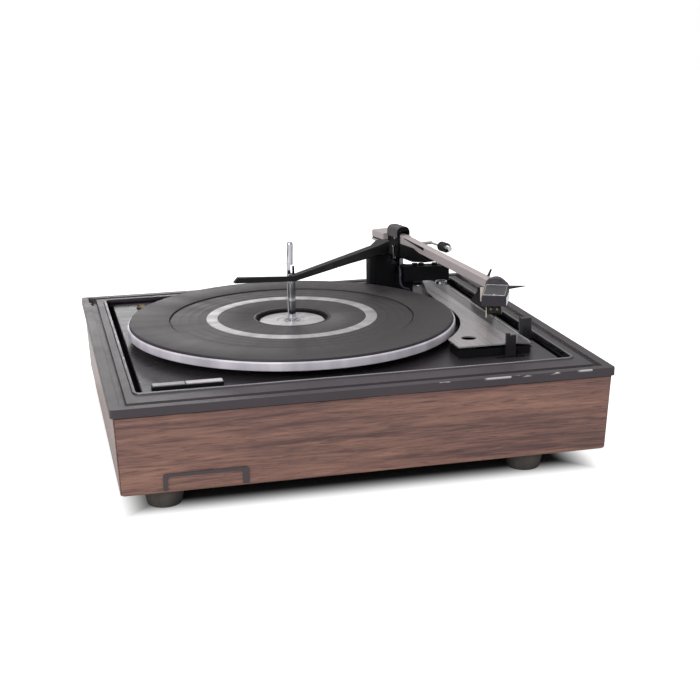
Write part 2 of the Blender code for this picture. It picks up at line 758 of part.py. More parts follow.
def gear_outline(root, tip, teeth_count, missing_count=0, turn=0.0):
    """A toothed outline; missing teeth are left out around the starting angle."""
    points = []
    pitch = math.tau / teeth_count
    for tooth in range(teeth_count):
        angle = turn + pitch * tooth
        distance = min(tooth, teeth_count - tooth)
        crest = root if distance * 2 < missing_count else tip
        points.append(polar(0, 0, root, angle - pitch / 4))
        points += arc(0, 0, crest, angle - pitch / 8, angle + pitch / 8, 1)
        points.append(polar(0, 0, root, angle + pitch / 4))
    return points


def moved(outline, x, y):
    return [(x + px, y + py) for px, py in outline]


def frame_empty(name, location, yaw):
    empty = bpy.data.objects.new(name, None)
    new_collection(PART_COLLECTION).objects.link(empty)
    empty.location = location
    empty.rotation_euler = (0, 0, yaw)
    bpy.context.view_layer.update()
    return empty


# Materials

def walnut():
    return material("walnut", (0.17, 0.065, 0.04), 0.45)


def frame_plastic():
    return material("frame_plastic", (0.09, 0.075, 0.075), 0.4)


def black_plastic():
    return material("black_plastic", (0.012, 0.011, 0.013), 0.35)


def rubber():
    return material("rubber", (0.05, 0.045, 0.05), 0.7)


def foot_rubber():
    return material("foot_rubber", (0.045, 0.055, 0.05), 0.75)


def bright_metal():
    return material("bright_metal", (0.75, 0.74, 0.74), 0.2, 1.0)


def brushed_metal():
    return material("brushed_metal", (0.62, 0.58, 0.57), 0.35, 1.0)


def steel():
    return material("steel", (0.45, 0.45, 0.46), 0.35, 1.0)


def painted_plate():
    return material("painted_plate", (0.07, 0.06, 0.065), 0.4)


def ivory():
    return material("ivory", (0.78, 0.72, 0.62), 0.45)


def arm_grey():
    return material("arm_grey", (0.42, 0.38, 0.39), 0.4)


def copper_coil():
    return material("copper_coil", (0.35, 0.16, 0.07), 0.5)


def fibre_board():
    return material("fibre_board", (0.20, 0.12, 0.07), 0.8)


# Plinth

BOARD_TOP = RIM_TOP - RIM_FACE
BOARD_HALF_WIDTH = TOP_WIDTH / 2 - RIM_OVERHANG
BOARD_HALF_DEPTH = TOP_DEPTH / 2 - RIM_OVERHANG
INSIDE_HALF_WIDTH = BOARD_HALF_WIDTH - BOARD_LEAN - BOARD_THICKNESS - GAP
INSIDE_HALF_DEPTH = BOARD_HALF_DEPTH - BOARD_LEAN - BOARD_THICKNESS - GAP
BOTTOM_TOP = FOOT_HEIGHT + OVERRUN + BOTTOM_THICKNESS


def leaning_board(name, half_length, half_reach, turn):
    """A mitred board whose outer face leans; it is made for the front and then turned."""
    bm = bmesh.new()
    bmesh.ops.create_cube(bm, size=2.0)
    for vert in bm.verts:
        side, inward, up = vert.co
        lean = BOARD_LEAN * (1 - up) / 2
        depth = (inward + 1) / 2 * BOARD_THICKNESS
        x = side * (half_length - lean - depth - GAP)
        y = depth + lean - half_reach
        z = FOOT_HEIGHT + (BOARD_TOP - GAP - FOOT_HEIGHT) * (up + 1) / 2
        vert.co = (x, y, z)
    board = from_bmesh(name, bm, walnut())
    board.rotation_euler = (0, 0, turn)
    return soften(board, BOARD_EDGE)


def make_boards():
    leaning_board("front_panel", BOARD_HALF_WIDTH, BOARD_HALF_DEPTH, 0)
    leaning_board("right_panel", BOARD_HALF_DEPTH, BOARD_HALF_WIDTH, math.pi / 2)
    back = leaning_board("back_panel", BOARD_HALF_WIDTH, BOARD_HALF_DEPTH, math.pi)
    leaning_board("left_panel", BOARD_HALF_DEPTH, BOARD_HALF_WIDTH, -math.pi / 2)
    hole = rod("grommet_hole", (GROMMET_X, BOARD_HALF_DEPTH - BOARD_THICKNESS * 2, GROMMET_Z),
               (GROMMET_X, BOARD_HALF_DEPTH + OVERRUN, GROMMET_Z), GROMMET_RADIUS + GAP, None, 24)
    cut(back, hole)


def make_grommet():
    face = BOARD_HALF_DEPTH - BOARD_LEAN * (BOARD_TOP - GROMMET_Z) / (BOARD_TOP - FOOT_HEIGHT)
    grommet = rod("rear_grommet", (GROMMET_X, face - BOARD_THICKNESS, GROMMET_Z),
                  (GROMMET_X, face + GAP + GROMMET_LIP, GROMMET_Z), GROMMET_RADIUS, rubber(), 24)
    stand = GAP + GROMMET_FLANGE * BOARD_LEAN / (BOARD_TOP - FOOT_HEIGHT)
    flange = rod("grommet_flange", (GROMMET_X, face + stand, GROMMET_Z),
                 (GROMMET_X, face + stand + GROMMET_LIP, GROMMET_Z), GROMMET_FLANGE, None, 24,
                 GROMMET_FLANGE - GAP)
    bore = rod("grommet_bore", (GROMMET_X, face - BOARD_THICKNESS * 2, GROMMET_Z),
               (GROMMET_X, face + GROMMET_LIP * 2, GROMMET_Z), GROMMET_BORE, None)
    fuse(grommet, flange)
    cut(grommet, bore)


def make_corner_blocks():
    names = {(-1, -1): "front_left", (1, -1): "front_right", (-1, 1): "back_left",
             (1, 1): "back_right"}
    for (side, end), place in names.items():
        outer = (side * INSIDE_HALF_WIDTH, end * INSIDE_HALF_DEPTH)
        outline = [outer, (outer[0] - side * CORNER_BLOCK, outer[1]),
                   (outer[0], outer[1] - end * CORNER_BLOCK)]
        plate("corner_block_" + place, [outline], BOTTOM_TOP + GAP,
              MOTOR_BOARD_TOP - MOTOR_BOARD_THICKNESS - GAP, fibre_board())


def make_bottom_board():
    board = box("bottom_board", (-INSIDE_HALF_WIDTH, -INSIDE_HALF_DEPTH, FOOT_HEIGHT + OVERRUN),
                (INSIDE_HALF_WIDTH, INSIDE_HALF_DEPTH, BOTTOM_TOP), fibre_board())
    for row in range(VENT_COUNT):
        y = (row - (VENT_COUNT - 1) / 2) * VENT_PITCH
        vent = box(f"vent_{row}", (-VENT_LENGTH / 2, y - VENT_WIDTH / 2, FOOT_HEIGHT),
                   (VENT_LENGTH / 2, y + VENT_WIDTH / 2, BOTTOM_TOP + OVERRUN), None)
        cut(board, vent)


def make_feet():
    places = {"front_left": (FOOT_LEFT_X, -FOOT_Y), "front_right": (FOOT_RIGHT_X, -FOOT_Y),
              "back_left": (FOOT_LEFT_X, FOOT_Y), "back_right": (FOOT_RIGHT_X, FOOT_Y)}
    top = FOOT_HEIGHT + OVERRUN - GAP
    for place, centre in places.items():
        profile = [(0, top), (FOOT_NECK, top), (FOOT_NECK, FOOT_HEIGHT - GAP),
                   (FOOT_RADIUS, FOOT_HEIGHT - GAP), (FOOT_RADIUS - FOOT_TAPER / 2, BOARD_EDGE),
                   (FOOT_RADIUS - FOOT_TAPER, 0), (0, 0)]
        turned("foot_" + place, profile, centre, foot_rubber(), 20, closed=False)


def make_motor_board():
    inner_x = INSIDE_HALF_WIDTH - MOTOR_BOARD_MARGIN
    inner_y = INSIDE_HALF_DEPTH - MOTOR_BOARD_MARGIN
    outer = rounded_rectangle(-INSIDE_HALF_WIDTH, -INSIDE_HALF_DEPTH, INSIDE_HALF_WIDTH,
                              INSIDE_HALF_DEPTH, BOARD_EDGE, 1)
    hole = rounded_rectangle(-inner_x, -inner_y, inner_x, inner_y, PLATE_CORNER)
    plate("motor_board", [outer, hole], MOTOR_BOARD_TOP - MOTOR_BOARD_THICKNESS,
          MOTOR_BOARD_TOP, fibre_board())


def make_inlay():
    """An open-bottomed black frame let into the leaning front board."""
    lean = math.atan2(BOARD_LEAN, BOARD_TOP - FOOT_HEIGHT)
    outline = [(INLAY_LEFT_X, INLAY_LOW_Z), (INLAY_LEFT_X, INLAY_HIGH_Z - INLAY_CORNER),
               (INLAY_LEFT_X + INLAY_CORNER, INLAY_HIGH_Z),
               (INLAY_RIGHT_X - INLAY_CORNER, INLAY_HIGH_Z),
               (INLAY_RIGHT_X, INLAY_HIGH_Z - INLAY_CORNER), (INLAY_RIGHT_X, INLAY_LOW_Z),
               (INLAY_RIGHT_X - INLAY_RIGHT_STRIP, INLAY_LOW_Z),
               (INLAY_RIGHT_X - INLAY_RIGHT_STRIP, INLAY_HIGH_Z - INLAY_TOP_STRIP - INLAY_CORNER),
               (INLAY_RIGHT_X - INLAY_RIGHT_STRIP - INLAY_CORNER, INLAY_HIGH_Z - INLAY_TOP_STRIP),
               (INLAY_LEFT_X + INLAY_LEFT_STRIP + INLAY_CORNER, INLAY_HIGH_Z - INLAY_TOP_STRIP),
               (INLAY_LEFT_X + INLAY_LEFT_STRIP, INLAY_HIGH_Z - INLAY_TOP_STRIP - INLAY_CORNER),
               (INLAY_LEFT_X + INLAY_LEFT_STRIP, INLAY_LOW_Z)]
    middle = (INLAY_LOW_Z + INLAY_HIGH_Z) / 2
    face = -BOARD_HALF_DEPTH + BOARD_LEAN * (BOARD_TOP - middle) / (BOARD_TOP - FOOT_HEIGHT)
    tilt = (Matrix.Translation((0, face, middle)) @ Matrix.Rotation(lean, 4, "X")
            @ Matrix.Translation((0, 0, -middle)) @ upright_along_y(0))
    plate("front_inlay", [outline], GAP, INLAY_THICKNESS, black_plastic(), turn=tilt)


# Top frame

def frame_outline(inset):
    radius = max(FRAME_CORNER - inset, FRAME_CORNER / 3)
    return rounded_rectangle(-TOP_WIDTH / 2 + inset, -TOP_DEPTH / 2 + inset,
                             TOP_WIDTH / 2 - inset, TOP_DEPTH / 2 - inset, radius)


def opening_outline(outset):
    return rounded_rectangle(-OPENING_HALF_WIDTH - outset, OPENING_FRONT_Y - outset,
                             OPENING_HALF_WIDTH + outset, OPENING_BACK_Y + outset,
                             OPENING_CORNER + outset)


def make_top_frame():
    frame = plate("top_frame", [frame_outline(0), opening_outline(BEAD_WIDTH + GAP)],
                  BOARD_TOP, RIM_TOP, frame_plastic())
    groove = plate("groove", [frame_outline(GROOVE_OUTER), frame_outline(GROOVE_INNER)],
                   RIM_TOP - GROOVE_DEPTH, RIM_TOP + OVERRUN, None)
    cut(frame, groove)
    for side in (-1, 1):
        pocket = box(f"hinge_pocket_{side}",
                     (side * HINGE_X - HINGE_WIDTH / 2, HINGE_Y - HINGE_LENGTH / 2,
                      RIM_TOP - HINGE_DEPTH),
                     (side * HINGE_X + HINGE_WIDTH / 2, HINGE_Y + HINGE_LENGTH / 2,
                      RIM_TOP + OVERRUN), None)
        cut(frame, pocket)
    soften(frame, FRAME_BEVEL, 1)


def make_bead():
    bead = plate("opening_bead", [opening_outline(BEAD_WIDTH), opening_outline(0)],
                 RIM_TOP - BEAD_DEPTH, RIM_TOP + BEAD_RISE, bright_metal())
    soften(bead, BEAD_WIDTH / 4, 2)


# Unit plate and what hangs from it

RIM_INSIDE = PLATTER_RADIUS - PLATTER_SKIRT
IDLER_CENTRE = polar(PLATTER_X, PLATTER_Y, RIM_INSIDE - IDLER_RADIUS - IDLER_GAP, IDLER_ANGLE)
MOTOR_CENTRE = polar(*IDLER_CENTRE, IDLER_RADIUS + PULLEY_RADIUS + GAP, MOTOR_ANGLE)
CAM_CENTRE = polar(PLATTER_X, PLATTER_Y, CAM_TIP + PINION_TIP - CAM_MESH, CAM_ANGLE)
IDLER_PIVOT = polar(*IDLER_CENTRE, IDLER_ARM_LENGTH, IDLER_ARM_ANGLE)
FRONT_LEVER_X = (FRONT_LEVER_LEFT_X + FRONT_LEVER_RIGHT_X) / 2


def make_unit_plate():
    outline = rounded_rectangle(-PLATE_HALF_WIDTH, PLATE_FRONT_Y, PLATE_HALF_WIDTH,
                                PLATE_BACK_Y, PLATE_CORNER)
    inner = rounded_rectangle(-PLATE_HALF_WIDTH + PLATE_WALL, PLATE_FRONT_Y + PLATE_WALL,
                              PLATE_HALF_WIDTH - PLATE_WALL, PLATE_BACK_Y - PLATE_WALL,
                              PLATE_CORNER - PLATE_WALL)
    pan = plate("unit_plate", [outline], PLATE_TOP - PLATE_HEIGHT, PLATE_TOP, painted_plate())
    soften(pan, PLATE_EDGE, 1)
    hollow = plate("plate_hollow", [inner], PLATE_TOP - PLATE_HEIGHT - OVERRUN,
                   PLATE_TOP - PLATE_WALL, None)
    low = PLATE_TOP - PLATE_HEIGHT
    high = PLATE_TOP + OVERRUN
    holes = [
        cylinder("tube_hole", (PLATTER_X, PLATTER_Y), TUBE_RADIUS + GAP, low, high, None),
        cylinder("pulley_hole", MOTOR_CENTRE, PULLEY_RADIUS + OVERRUN, low, high, None),
        cylinder("column_hole", (ARM_X, ARM_Y), COLUMN_RADIUS + OVERRUN, low, high, None),
        box("front_lever_slot",
            (FRONT_LEVER_LEFT_X - FRONT_LEVER_TRAVEL_X - OVERRUN,
             FRONT_LEVER_Y - FRONT_LEVER_THICKNESS - OVERRUN, low),
            (FRONT_LEVER_RIGHT_X + FRONT_LEVER_TRAVEL_X + OVERRUN, CONTROL_FRONT_Y, high), None),
        box("right_lever_slot",
            (RIGHT_LEVER_X - RIGHT_LEVER_STEM / 2 - GAP * 2,
             RIGHT_LEVER_Y - RIGHT_LEVER_STEM / 2 - RIGHT_LEVER_TRAVEL - GAP * 2, low),
            (RIGHT_LEVER_X + RIGHT_LEVER_STEM / 2 + GAP * 2,
             RIGHT_LEVER_Y + RIGHT_LEVER_STEM / 2 + RIGHT_LEVER_TRAVEL + GAP * 2, high), None),
    ]
    for number, centre in enumerate((SCREW_LEFT, SCREW_RIGHT)):
        holes.append(cylinder(f"transit_hole_{number}", centre, SCREW_SHANK + GAP, low, high,
                              None, 16))
    cut(pan, hollow, *holes)
    pins = [
        cylinder("cam_pin", CAM_CENTRE, CAM_PIN, PLATE_TOP - PLATE_WALL,
                 CAM_LOW + CAM_THICKNESS + GAP, None, 20),
        cylinder("lever_pin", (FRONT_LEVER_X, FRONT_LEVER_PIVOT_Y), FRONT_LEVER_PIN,
                 PLATE_TOP - PLATE_HEIGHT, PLATE_TOP - PLATE_WALL / 2, None, 20),
        cylinder("cam_seat", CAM_CENTRE, CAM_HUB, PLATE_TOP - PLATE_WALL / 2, CAM_LOW - GAP,
                 None, 24),
    ]
    fuse(pan, *pins)


def make_springs():
    """Coil springs between the motor board and the unit plate."""
    names = {(-1, -1): "front_left", (1, -1): "front_right", (-1, 1): "back_left",
             (1, 1): "back_right"}
    low = MOTOR_BOARD_TOP + GAP + SPRING_WIRE
    high = PLATE_TOP - PLATE_WALL - GAP - SPRING_WIRE
    count = SPRING_TURN_COUNT * 8
    middle_y = (PLATE_FRONT_Y + PLATE_BACK_Y) / 2
    half_y = (PLATE_BACK_Y - PLATE_FRONT_Y) / 2
    for (side, end), place in names.items():
        centre = (side * (PLATE_HALF_WIDTH - SPRING_INSET),
                  middle_y + end * (half_y - SPRING_INSET))
        curve = bpy.data.curves.new("suspension_spring_" + place, "CURVE")
        curve.dimensions = "3D"
        curve.bevel_depth = SPRING_WIRE
        curve.bevel_resolution = 1
        curve.use_fill_caps = True
        curve.materials.append(steel())
        spline = curve.splines.new("POLY")
        spline.points.add(count)
        for step, point in enumerate(spline.points):
            angle = math.tau * SPRING_TURN_COUNT * step / count
            x, y = polar(0, 0, SPRING_RADIUS, angle)
            point.co = (x, y, low + (high - low) * step / count, 1)
        obj = bpy.data.objects.new(curve.name, curve)
        new_collection(PART_COLLECTION).objects.link(obj)
        obj.location = (centre[0], centre[1], 0)
        smooth(curve_to_mesh(obj))


def make_transit_screws():
    places = {"transit_screw_left": SCREW_LEFT, "transit_screw_right": SCREW_RIGHT}
    for name, centre in places.items():
        seat = PLATE_TOP + GAP
        low = PLATE_TOP + GAP - SCREW_LENGTH
        profile = [(0, seat + SCREW_CROWN), (SCREW_HEAD * SCREW_FLAT_SHARE, seat + SCREW_CROWN),
                   (SCREW_HEAD, seat + SCREW_CROWN * SCREW_RIM_SHARE), (SCREW_HEAD, seat),
                   (SCREW_SHANK, seat), (SCREW_SHANK, low), (0, low)]
        screw = turned(name, profile, centre, bright_metal(), 16, closed=False)
        slot = box(name + "_slot", (centre[0] - SCREW_HEAD, centre[1] - SCREW_SLOT / 2,
                                    seat + SCREW_CROWN / 2),
                   (centre[0] + SCREW_HEAD, centre[1] + SCREW_SLOT / 2,
                    seat + SCREW_CROWN + OVERRUN), None)
        cut(screw, slot)


def make_badge():
    bar = box("badge_bar", (BADGE_LEFT_X, BADGE_FRONT_Y, PLATE_TOP + GAP),
              (BADGE_RIGHT_X, BADGE_BACK_Y, PLATE_TOP + GAP + BADGE_HEIGHT), bright_metal())
    soften(bar, BADGE_EDGE)


def make_bearing_tube():
    flange_top = PLATE_TOP - PLATE_WALL - GAP
    flange_low = flange_top - TUBE_FLANGE_THICKNESS
    profile = [(TUBE_RADIUS, TUBE_TOP), (TUBE_RADIUS, flange_top), (TUBE_FLANGE, flange_top),
               (TUBE_FLANGE, flange_low), (TUBE_RADIUS, flange_low), (TUBE_RADIUS, TUBE_LOW),
               (TUBE_BORE, TUBE_LOW), (TUBE_BORE, TUBE_TOP)]
    turned("bearing_tube", profile, (PLATTER_X, PLATTER_Y), steel(), 24)
    low = PLATE_TOP + GAP
    inner = TUBE_RADIUS + GAP
    washer = [(WASHER_RADIUS, low + WASHER_THICKNESS), (WASHER_RADIUS, low), (inner, low),
              (inner, low + WASHER_THICKNESS)]
    turned("thrust_washer", washer, (PLATTER_X, PLATTER_Y), bright_metal(), 24)


def make_spindle():
    """The stepped changer spindle: shaft, notch with its shelf, and a leaning finger."""
    centre = (PLATTER_X, PLATTER_Y)
    profile = [(0, SHELF_TOP), (SPINDLE_RADIUS, SHELF_TOP), (SPINDLE_RADIUS, SPINDLE_LOW),
               (0, SPINDLE_LOW)]
    shaft = turned("spindle", profile, centre, bright_metal(), 20, closed=False)
    finger_x = PLATTER_X - FINGER_SHIFT
    tall = SPINDLE_TOP - NOTCH_TOP
    dome = [(FINGER_RADIUS * math.sin(angle), tall - FINGER_RADIUS * (1 - math.cos(angle)))
            for angle in (math.pi / 8, math.pi / 4, math.pi * 3 / 8, math.pi / 2)]
    finger = turned("finger", [(0, tall)] + dome + [(FINGER_RADIUS, 0), (0, 0)],
                    (finger_x, PLATTER_Y), None, 24, closed=False)
    finger.location.z = NOTCH_TOP
    finger.rotation_euler = (0, math.atan2(FINGER_LEAN, tall - FINGER_RADIUS), 0)
    neck_left = PLATTER_X - SPINDLE_RADIUS * NECK_LEFT_SHARE
    neck_side = FINGER_RADIUS * NECK_DEPTH_SHARE
    neck = box("neck", (neck_left, PLATTER_Y - neck_side, SHELF_TOP - OVERRUN),
               (neck_left + NECK_WIDTH, PLATTER_Y + neck_side, NOTCH_TOP + OVERRUN),
               None)
    pusher_slot = box("pusher_slot",
                      (PLATTER_X + PUSHER_X - PUSHER_STROKE - GAP * 2,
                       PLATTER_Y - PUSHER_THICKNESS / 2 - GAP, PUSHER_LOW - GAP * 2),
                      (PLATTER_X + SPINDLE_RADIUS + OVERRUN,
                       PLATTER_Y + PUSHER_THICKNESS / 2 + GAP, NOTCH_TOP - GAP), None)
    fuse(shaft, neck, finger)
    cut(shaft, pusher_slot)


def make_pusher():
    pusher = box("spindle_pusher",
                 (PLATTER_X + PUSHER_X, PLATTER_Y - PUSHER_THICKNESS / 2, PUSHER_LOW),
                 (PLATTER_X + PUSHER_X + PUSHER_WIDTH, PLATTER_Y + PUSHER_THICKNESS / 2,
                  PUSHER_TOP - OVERRUN / 2), steel())
    soften(pusher, PUSHER_THICKNESS / 6, 1)


# Platter

def make_platter():
    """The turned pan: a rim with its skirt, and a web that dips round the hub's flange."""
    edge = PLATTER_EDGE_TOP + PLATTER_BEVEL / 2
    lip_inner = PLATTER_RADIUS - PLATTER_LIP
    web_low = PLATTER_WEB_TOP - PLATTER_WEB
    centre_top = PLATTER_WEB_TOP - CENTRE_DROP
    centre_edge = CENTRE_DISC_RADIUS + GAP
    hole = HUB_RADIUS + GAP
    profile = [(lip_inner, edge), (PLATTER_RADIUS - PLATTER_BEVEL / 3, edge),
               (PLATTER_RADIUS, edge - PLATTER_BEVEL), (PLATTER_RADIUS, PLATTER_LOW),
               (RIM_INSIDE, PLATTER_LOW), (RIM_INSIDE, web_low),
               (centre_edge + PLATTER_WEB * 2, web_low),
               (centre_edge, centre_top - PLATTER_WEB), (hole, centre_top - PLATTER_WEB),
               (hole, centre_top), (centre_edge, centre_top),
               (CENTRE_RADIUS, PLATTER_WEB_TOP), (lip_inner, PLATTER_WEB_TOP)]
    turned("platter", profile, (PLATTER_X, PLATTER_Y), brushed_metal(), 48)


def make_mat():
    low = PLATTER_WEB_TOP + GAP
    outer = PLATTER_RADIUS - PLATTER_LIP - GAP
    step = MAT_TOP - MAT_STEP
    inner = CENTRE_RADIUS + GAP * 2
    profile = [(outer - MAT_STEP, MAT_TOP), (outer, MAT_TOP - MAT_STEP / 2), (outer, low),
               (inner, low), (inner, step), (TRIM_INNER - GAP, step),
               (TRIM_INNER - GAP, TRIM_LOW - GAP), (TRIM_OUTER + GAP, TRIM_LOW - GAP),
               (TRIM_OUTER + GAP, step)]
    pitch = (MAT_STEP_RADIUS - TRIM_OUTER) / (MAT_RIB_COUNT + 1)
    for rib in range(1, MAT_RIB_COUNT + 1):
        radius = TRIM_OUTER + pitch * rib
        profile += [(radius - pitch / 6, step), (radius, step + MAT_RIB_DEPTH),
                    (radius + pitch / 6, step)]
    profile += [(MAT_STEP_RADIUS, step), (MAT_STEP_RADIUS + MAT_STEP, MAT_TOP)]
    turned("platter_mat", profile, (PLATTER_X, PLATTER_Y), rubber(), 48)


def make_trim_ring():
    bevel = (TRIM_TOP - TRIM_LOW) / 3
    profile = [(TRIM_OUTER - bevel, TRIM_TOP), (TRIM_OUTER, TRIM_TOP - bevel),
               (TRIM_OUTER, TRIM_LOW), (TRIM_INNER, TRIM_LOW), (TRIM_INNER, TRIM_TOP - bevel),
               (TRIM_INNER + bevel, TRIM_TOP)]
    turned("trim_ring", profile, (PLATTER_X, PLATTER_Y), bright_metal(), 48)


def make_centre_disc():
    """The turned hub: its flange shows in the platter's middle, its pinion faces the cam gear."""
    low = PLATTER_WEB_TOP - CENTRE_DROP + GAP
    bore = TUBE_RADIUS + RUNNING_GAP
    eye = SPINDLE_RADIUS + RUNNING_GAP
    profile = [(CENTRE_DISC_RADIUS - CENTRE_DISC_BEVEL, CENTRE_DISC_TOP),
               (CENTRE_DISC_RADIUS, CENTRE_DISC_TOP - CENTRE_DISC_BEVEL),
               (CENTRE_DISC_RADIUS, low), (HUB_RADIUS, low), (HUB_RADIUS, HUB_LOW),
               (bore, HUB_LOW), (bore, TUBE_TOP + GAP), (eye, TUBE_TOP + GAP),
               (eye, CENTRE_DISC_TOP)]
    hub = turned("centre_disc", profile, (PLATTER_X, PLATTER_Y), brushed_metal(), 36)
    crown = gear_outline(PINION_ROOT, PINION_TIP, PINION_TEETH_COUNT)
    seat = arc(PLATTER_X, PLATTER_Y, (bore + HUB_RADIUS) / 2, math.tau, math.tau / 24, 23)
    teeth = plate("pinion_teeth", [moved(crown, PLATTER_X, PLATTER_Y), seat], HUB_LOW + GAP,
                  PINION_TOP, None)
    fuse(hub, teeth)


# Motor, idler and cam gear

def make_motor():
    """The laminated stator with its bore, and the coil round its front limb."""
    x, y = MOTOR_CENTRE
    stator = box("motor_stator", (x - STATOR_WIDTH / 2, y - STATOR_FRONT, STATOR_LOW),
                 (x + STATOR_WIDTH / 2, y + STATOR_BACK, STATOR_TOP), steel())
    bore = cylinder("rotor_bore", (x, y), ROTOR_RADIUS + STATOR_GAP, STATOR_LOW - OVERRUN,
                    STATOR_TOP + OVERRUN, None)
    side = COIL_WIDTH / 2 + GAP
    window = box("coil_window", (x - side, y - LIMB_BACK, STATOR_LOW - OVERRUN),
                 (x + side, y - WINDOW_BACK, STATOR_TOP + OVERRUN), None)
    cut(stator, bore, window)
    coil = box("motor_coil", (x - COIL_WIDTH / 2, y - COIL_FRONT, COIL_LOW),
               (x + COIL_WIDTH / 2, y - WINDOW_BACK - GAP, COIL_TOP), copper_coil())
    limb = box("coil_limb", (x - COIL_WIDTH, y - STATOR_FRONT - GAP, STATOR_LOW - GAP),
               (x + COIL_WIDTH, y - LIMB_BACK + GAP, STATOR_TOP + GAP), None)
    cut(coil, limb)


def make_rotor():
    x, y = MOTOR_CENTRE
    top_step = PULLEY_TOP - PULLEY_STEP_HEIGHT
    profile = [(0, PULLEY_TOP), (PULLEY_RADIUS - PULLEY_STEP * 2, PULLEY_TOP),
               (PULLEY_RADIUS - PULLEY_STEP * 2, top_step),
               (PULLEY_RADIUS - PULLEY_STEP, top_step),
               (PULLEY_RADIUS - PULLEY_STEP, top_step - PULLEY_STEP_HEIGHT / 3),
               (PULLEY_RADIUS, top_step - PULLEY_STEP_HEIGHT / 3),
               (PULLEY_RADIUS, PLATE_TOP + GAP), (MOTOR_SHAFT, PLATE_TOP + GAP),
               (MOTOR_SHAFT, ROTOR_TOP), (ROTOR_RADIUS, ROTOR_TOP), (ROTOR_RADIUS, ROTOR_LOW),
               (0, ROTOR_LOW)]
    turned("motor_rotor", profile, (x, y), steel(), 20, closed=False)


def make_motor_bracket():
    x, y = MOTOR_CENTRE
    strap = box("motor_bracket",
                (x - BRACKET_LENGTH / 2, y - BRACKET_WIDTH / 2, BRACKET_LOW),
                (x + BRACKET_LENGTH / 2, y + BRACKET_WIDTH / 2, BRACKET_LOW + BRACKET_THICKNESS),
                steel())
    posts = []
    for side in (-1, 1):
        centre = (x + side * (BRACKET_LENGTH / 2 - BRACKET_POST), y)
        posts.append(cylinder(f"bracket_post_{side}", centre, BRACKET_POST,
                              STATOR_TOP + GAP, PLATE_TOP - PLATE_WALL - GAP, None, 16))
    hole = cylinder("bracket_hole", (x, y), MOTOR_SHAFT + RUNNING_GAP, BRACKET_LOW - OVERRUN,
                    BRACKET_LOW + OVERRUN * 2, None, 20)
    fuse(strap, *posts)
    cut(strap, hole)


def make_idler():
    pin_top = IDLER_LOW + IDLER_THICKNESS + GAP
    arm_low = PLATE_TOP + GAP
    arm_top = arm_low + IDLER_ARM_THICKNESS
    heading = math.atan2(IDLER_PIVOT[1] - IDLER_CENTRE[1], IDLER_PIVOT[0] - IDLER_CENTRE[0])
    half = IDLER_ARM_WIDTH / 2
    ends = arc(*IDLER_PIVOT, half, heading - math.pi / 2, heading + math.pi / 2, 6)
    ends += arc(*IDLER_CENTRE, half, heading + math.pi / 2, heading + math.pi * 3 / 2, 6)
    arm = plate("idler_arm", [ends], arm_low, arm_top, steel())
    pin = cylinder("idler_pin", IDLER_CENTRE, IDLER_PIN, arm_low + GAP, pin_top, None, 20)
    fuse(arm, pin)
    bore = IDLER_PIN + RUNNING_GAP
    high = IDLER_LOW + IDLER_THICKNESS
    dish = IDLER_THICKNESS / 4
    tread = IDLER_RADIUS * IDLER_TREAD_SHARE
    dish_edge = IDLER_RADIUS * IDLER_DISH_SHARE
    boss = IDLER_RADIUS * IDLER_BOSS_SHARE
    eye = IDLER_RADIUS * IDLER_EYE_SHARE
    profile = [(IDLER_RADIUS, high), (IDLER_RADIUS, IDLER_LOW), (tread, IDLER_LOW),
               (dish_edge, IDLER_LOW + dish), (boss, IDLER_LOW + dish), (eye, IDLER_LOW - GAP),
               (bore, IDLER_LOW - GAP), (bore, high), (eye, high), (boss, high - dish),
               (dish_edge, high - dish), (tread, high)]
    turned("idler_wheel", profile, IDLER_CENTRE, rubber(), 24)


def make_cam_gear():
    """The changer's slow gear; its missing teeth face the platter pinion at rest."""
    turn = math.atan2(PLATTER_Y - CAM_CENTRE[1], PLATTER_X - CAM_CENTRE[0])
    outline = moved(gear_outline(CAM_ROOT, CAM_TIP, CAM_TEETH_COUNT, CAM_GAP_COUNT, turn),
                    *CAM_CENTRE)
    bore = arc(*CAM_CENTRE, CAM_PIN + RUNNING_GAP, math.tau, math.tau / 20, 19)
    gear = plate("cam_gear", [outline, bore], CAM_LOW, CAM_LOW + CAM_THICKNESS, black_plastic())
    inner = CAM_TRACK_RADIUS - CAM_TRACK_WIDTH / 2
    outer = CAM_TRACK_RADIUS + CAM_TRACK_WIDTH / 2
    top = CAM_LOW + CAM_THICKNESS
    profile = [(outer, top + OVERRUN), (outer, top - CAM_TRACK_DEPTH),
               (inner, top - CAM_TRACK_DEPTH), (inner, top + OVERRUN)]
    cut(gear, turned("cam_track", profile, CAM_CENTRE, None, 24))


# Control housing and levers

def control_outline(setback):
    """The control plate's outline, drawn in by a setback; its left side follows the platter."""
    radius = CONTROL_ARC_RADIUS + setback
    front = CONTROL_FRONT_Y + setback
    left = CONTROL_LEFT_X + setback
    start = math.atan2(-math.sqrt(radius ** 2 - (left - PLATTER_X) ** 2), left - PLATTER_X)
    end = math.asin((CONTROL_WAIST_Y - PLATTER_Y) / radius * CONTROL_ARC_END_SHARE)
    points = [(left, front), (CONTROL_RIGHT_X - setback, front),
              (CONTROL_RIGHT_X - setback, CONTROL_REAR_Y),
              (CONTROL_TAIL_X - setback, CONTROL_TAIL_Y),
              (CONTROL_SHOULDER_X - setback, CONTROL_SHOULDER_Y),
              (CONTROL_NOSE_X, CONTROL_NOSE_Y - setback),
              (CONTROL_WAIST_X + setback, CONTROL_WAIST_Y)]
    points += arc(PLATTER_X, PLATTER_Y, radius, end, start, 14)
    return points


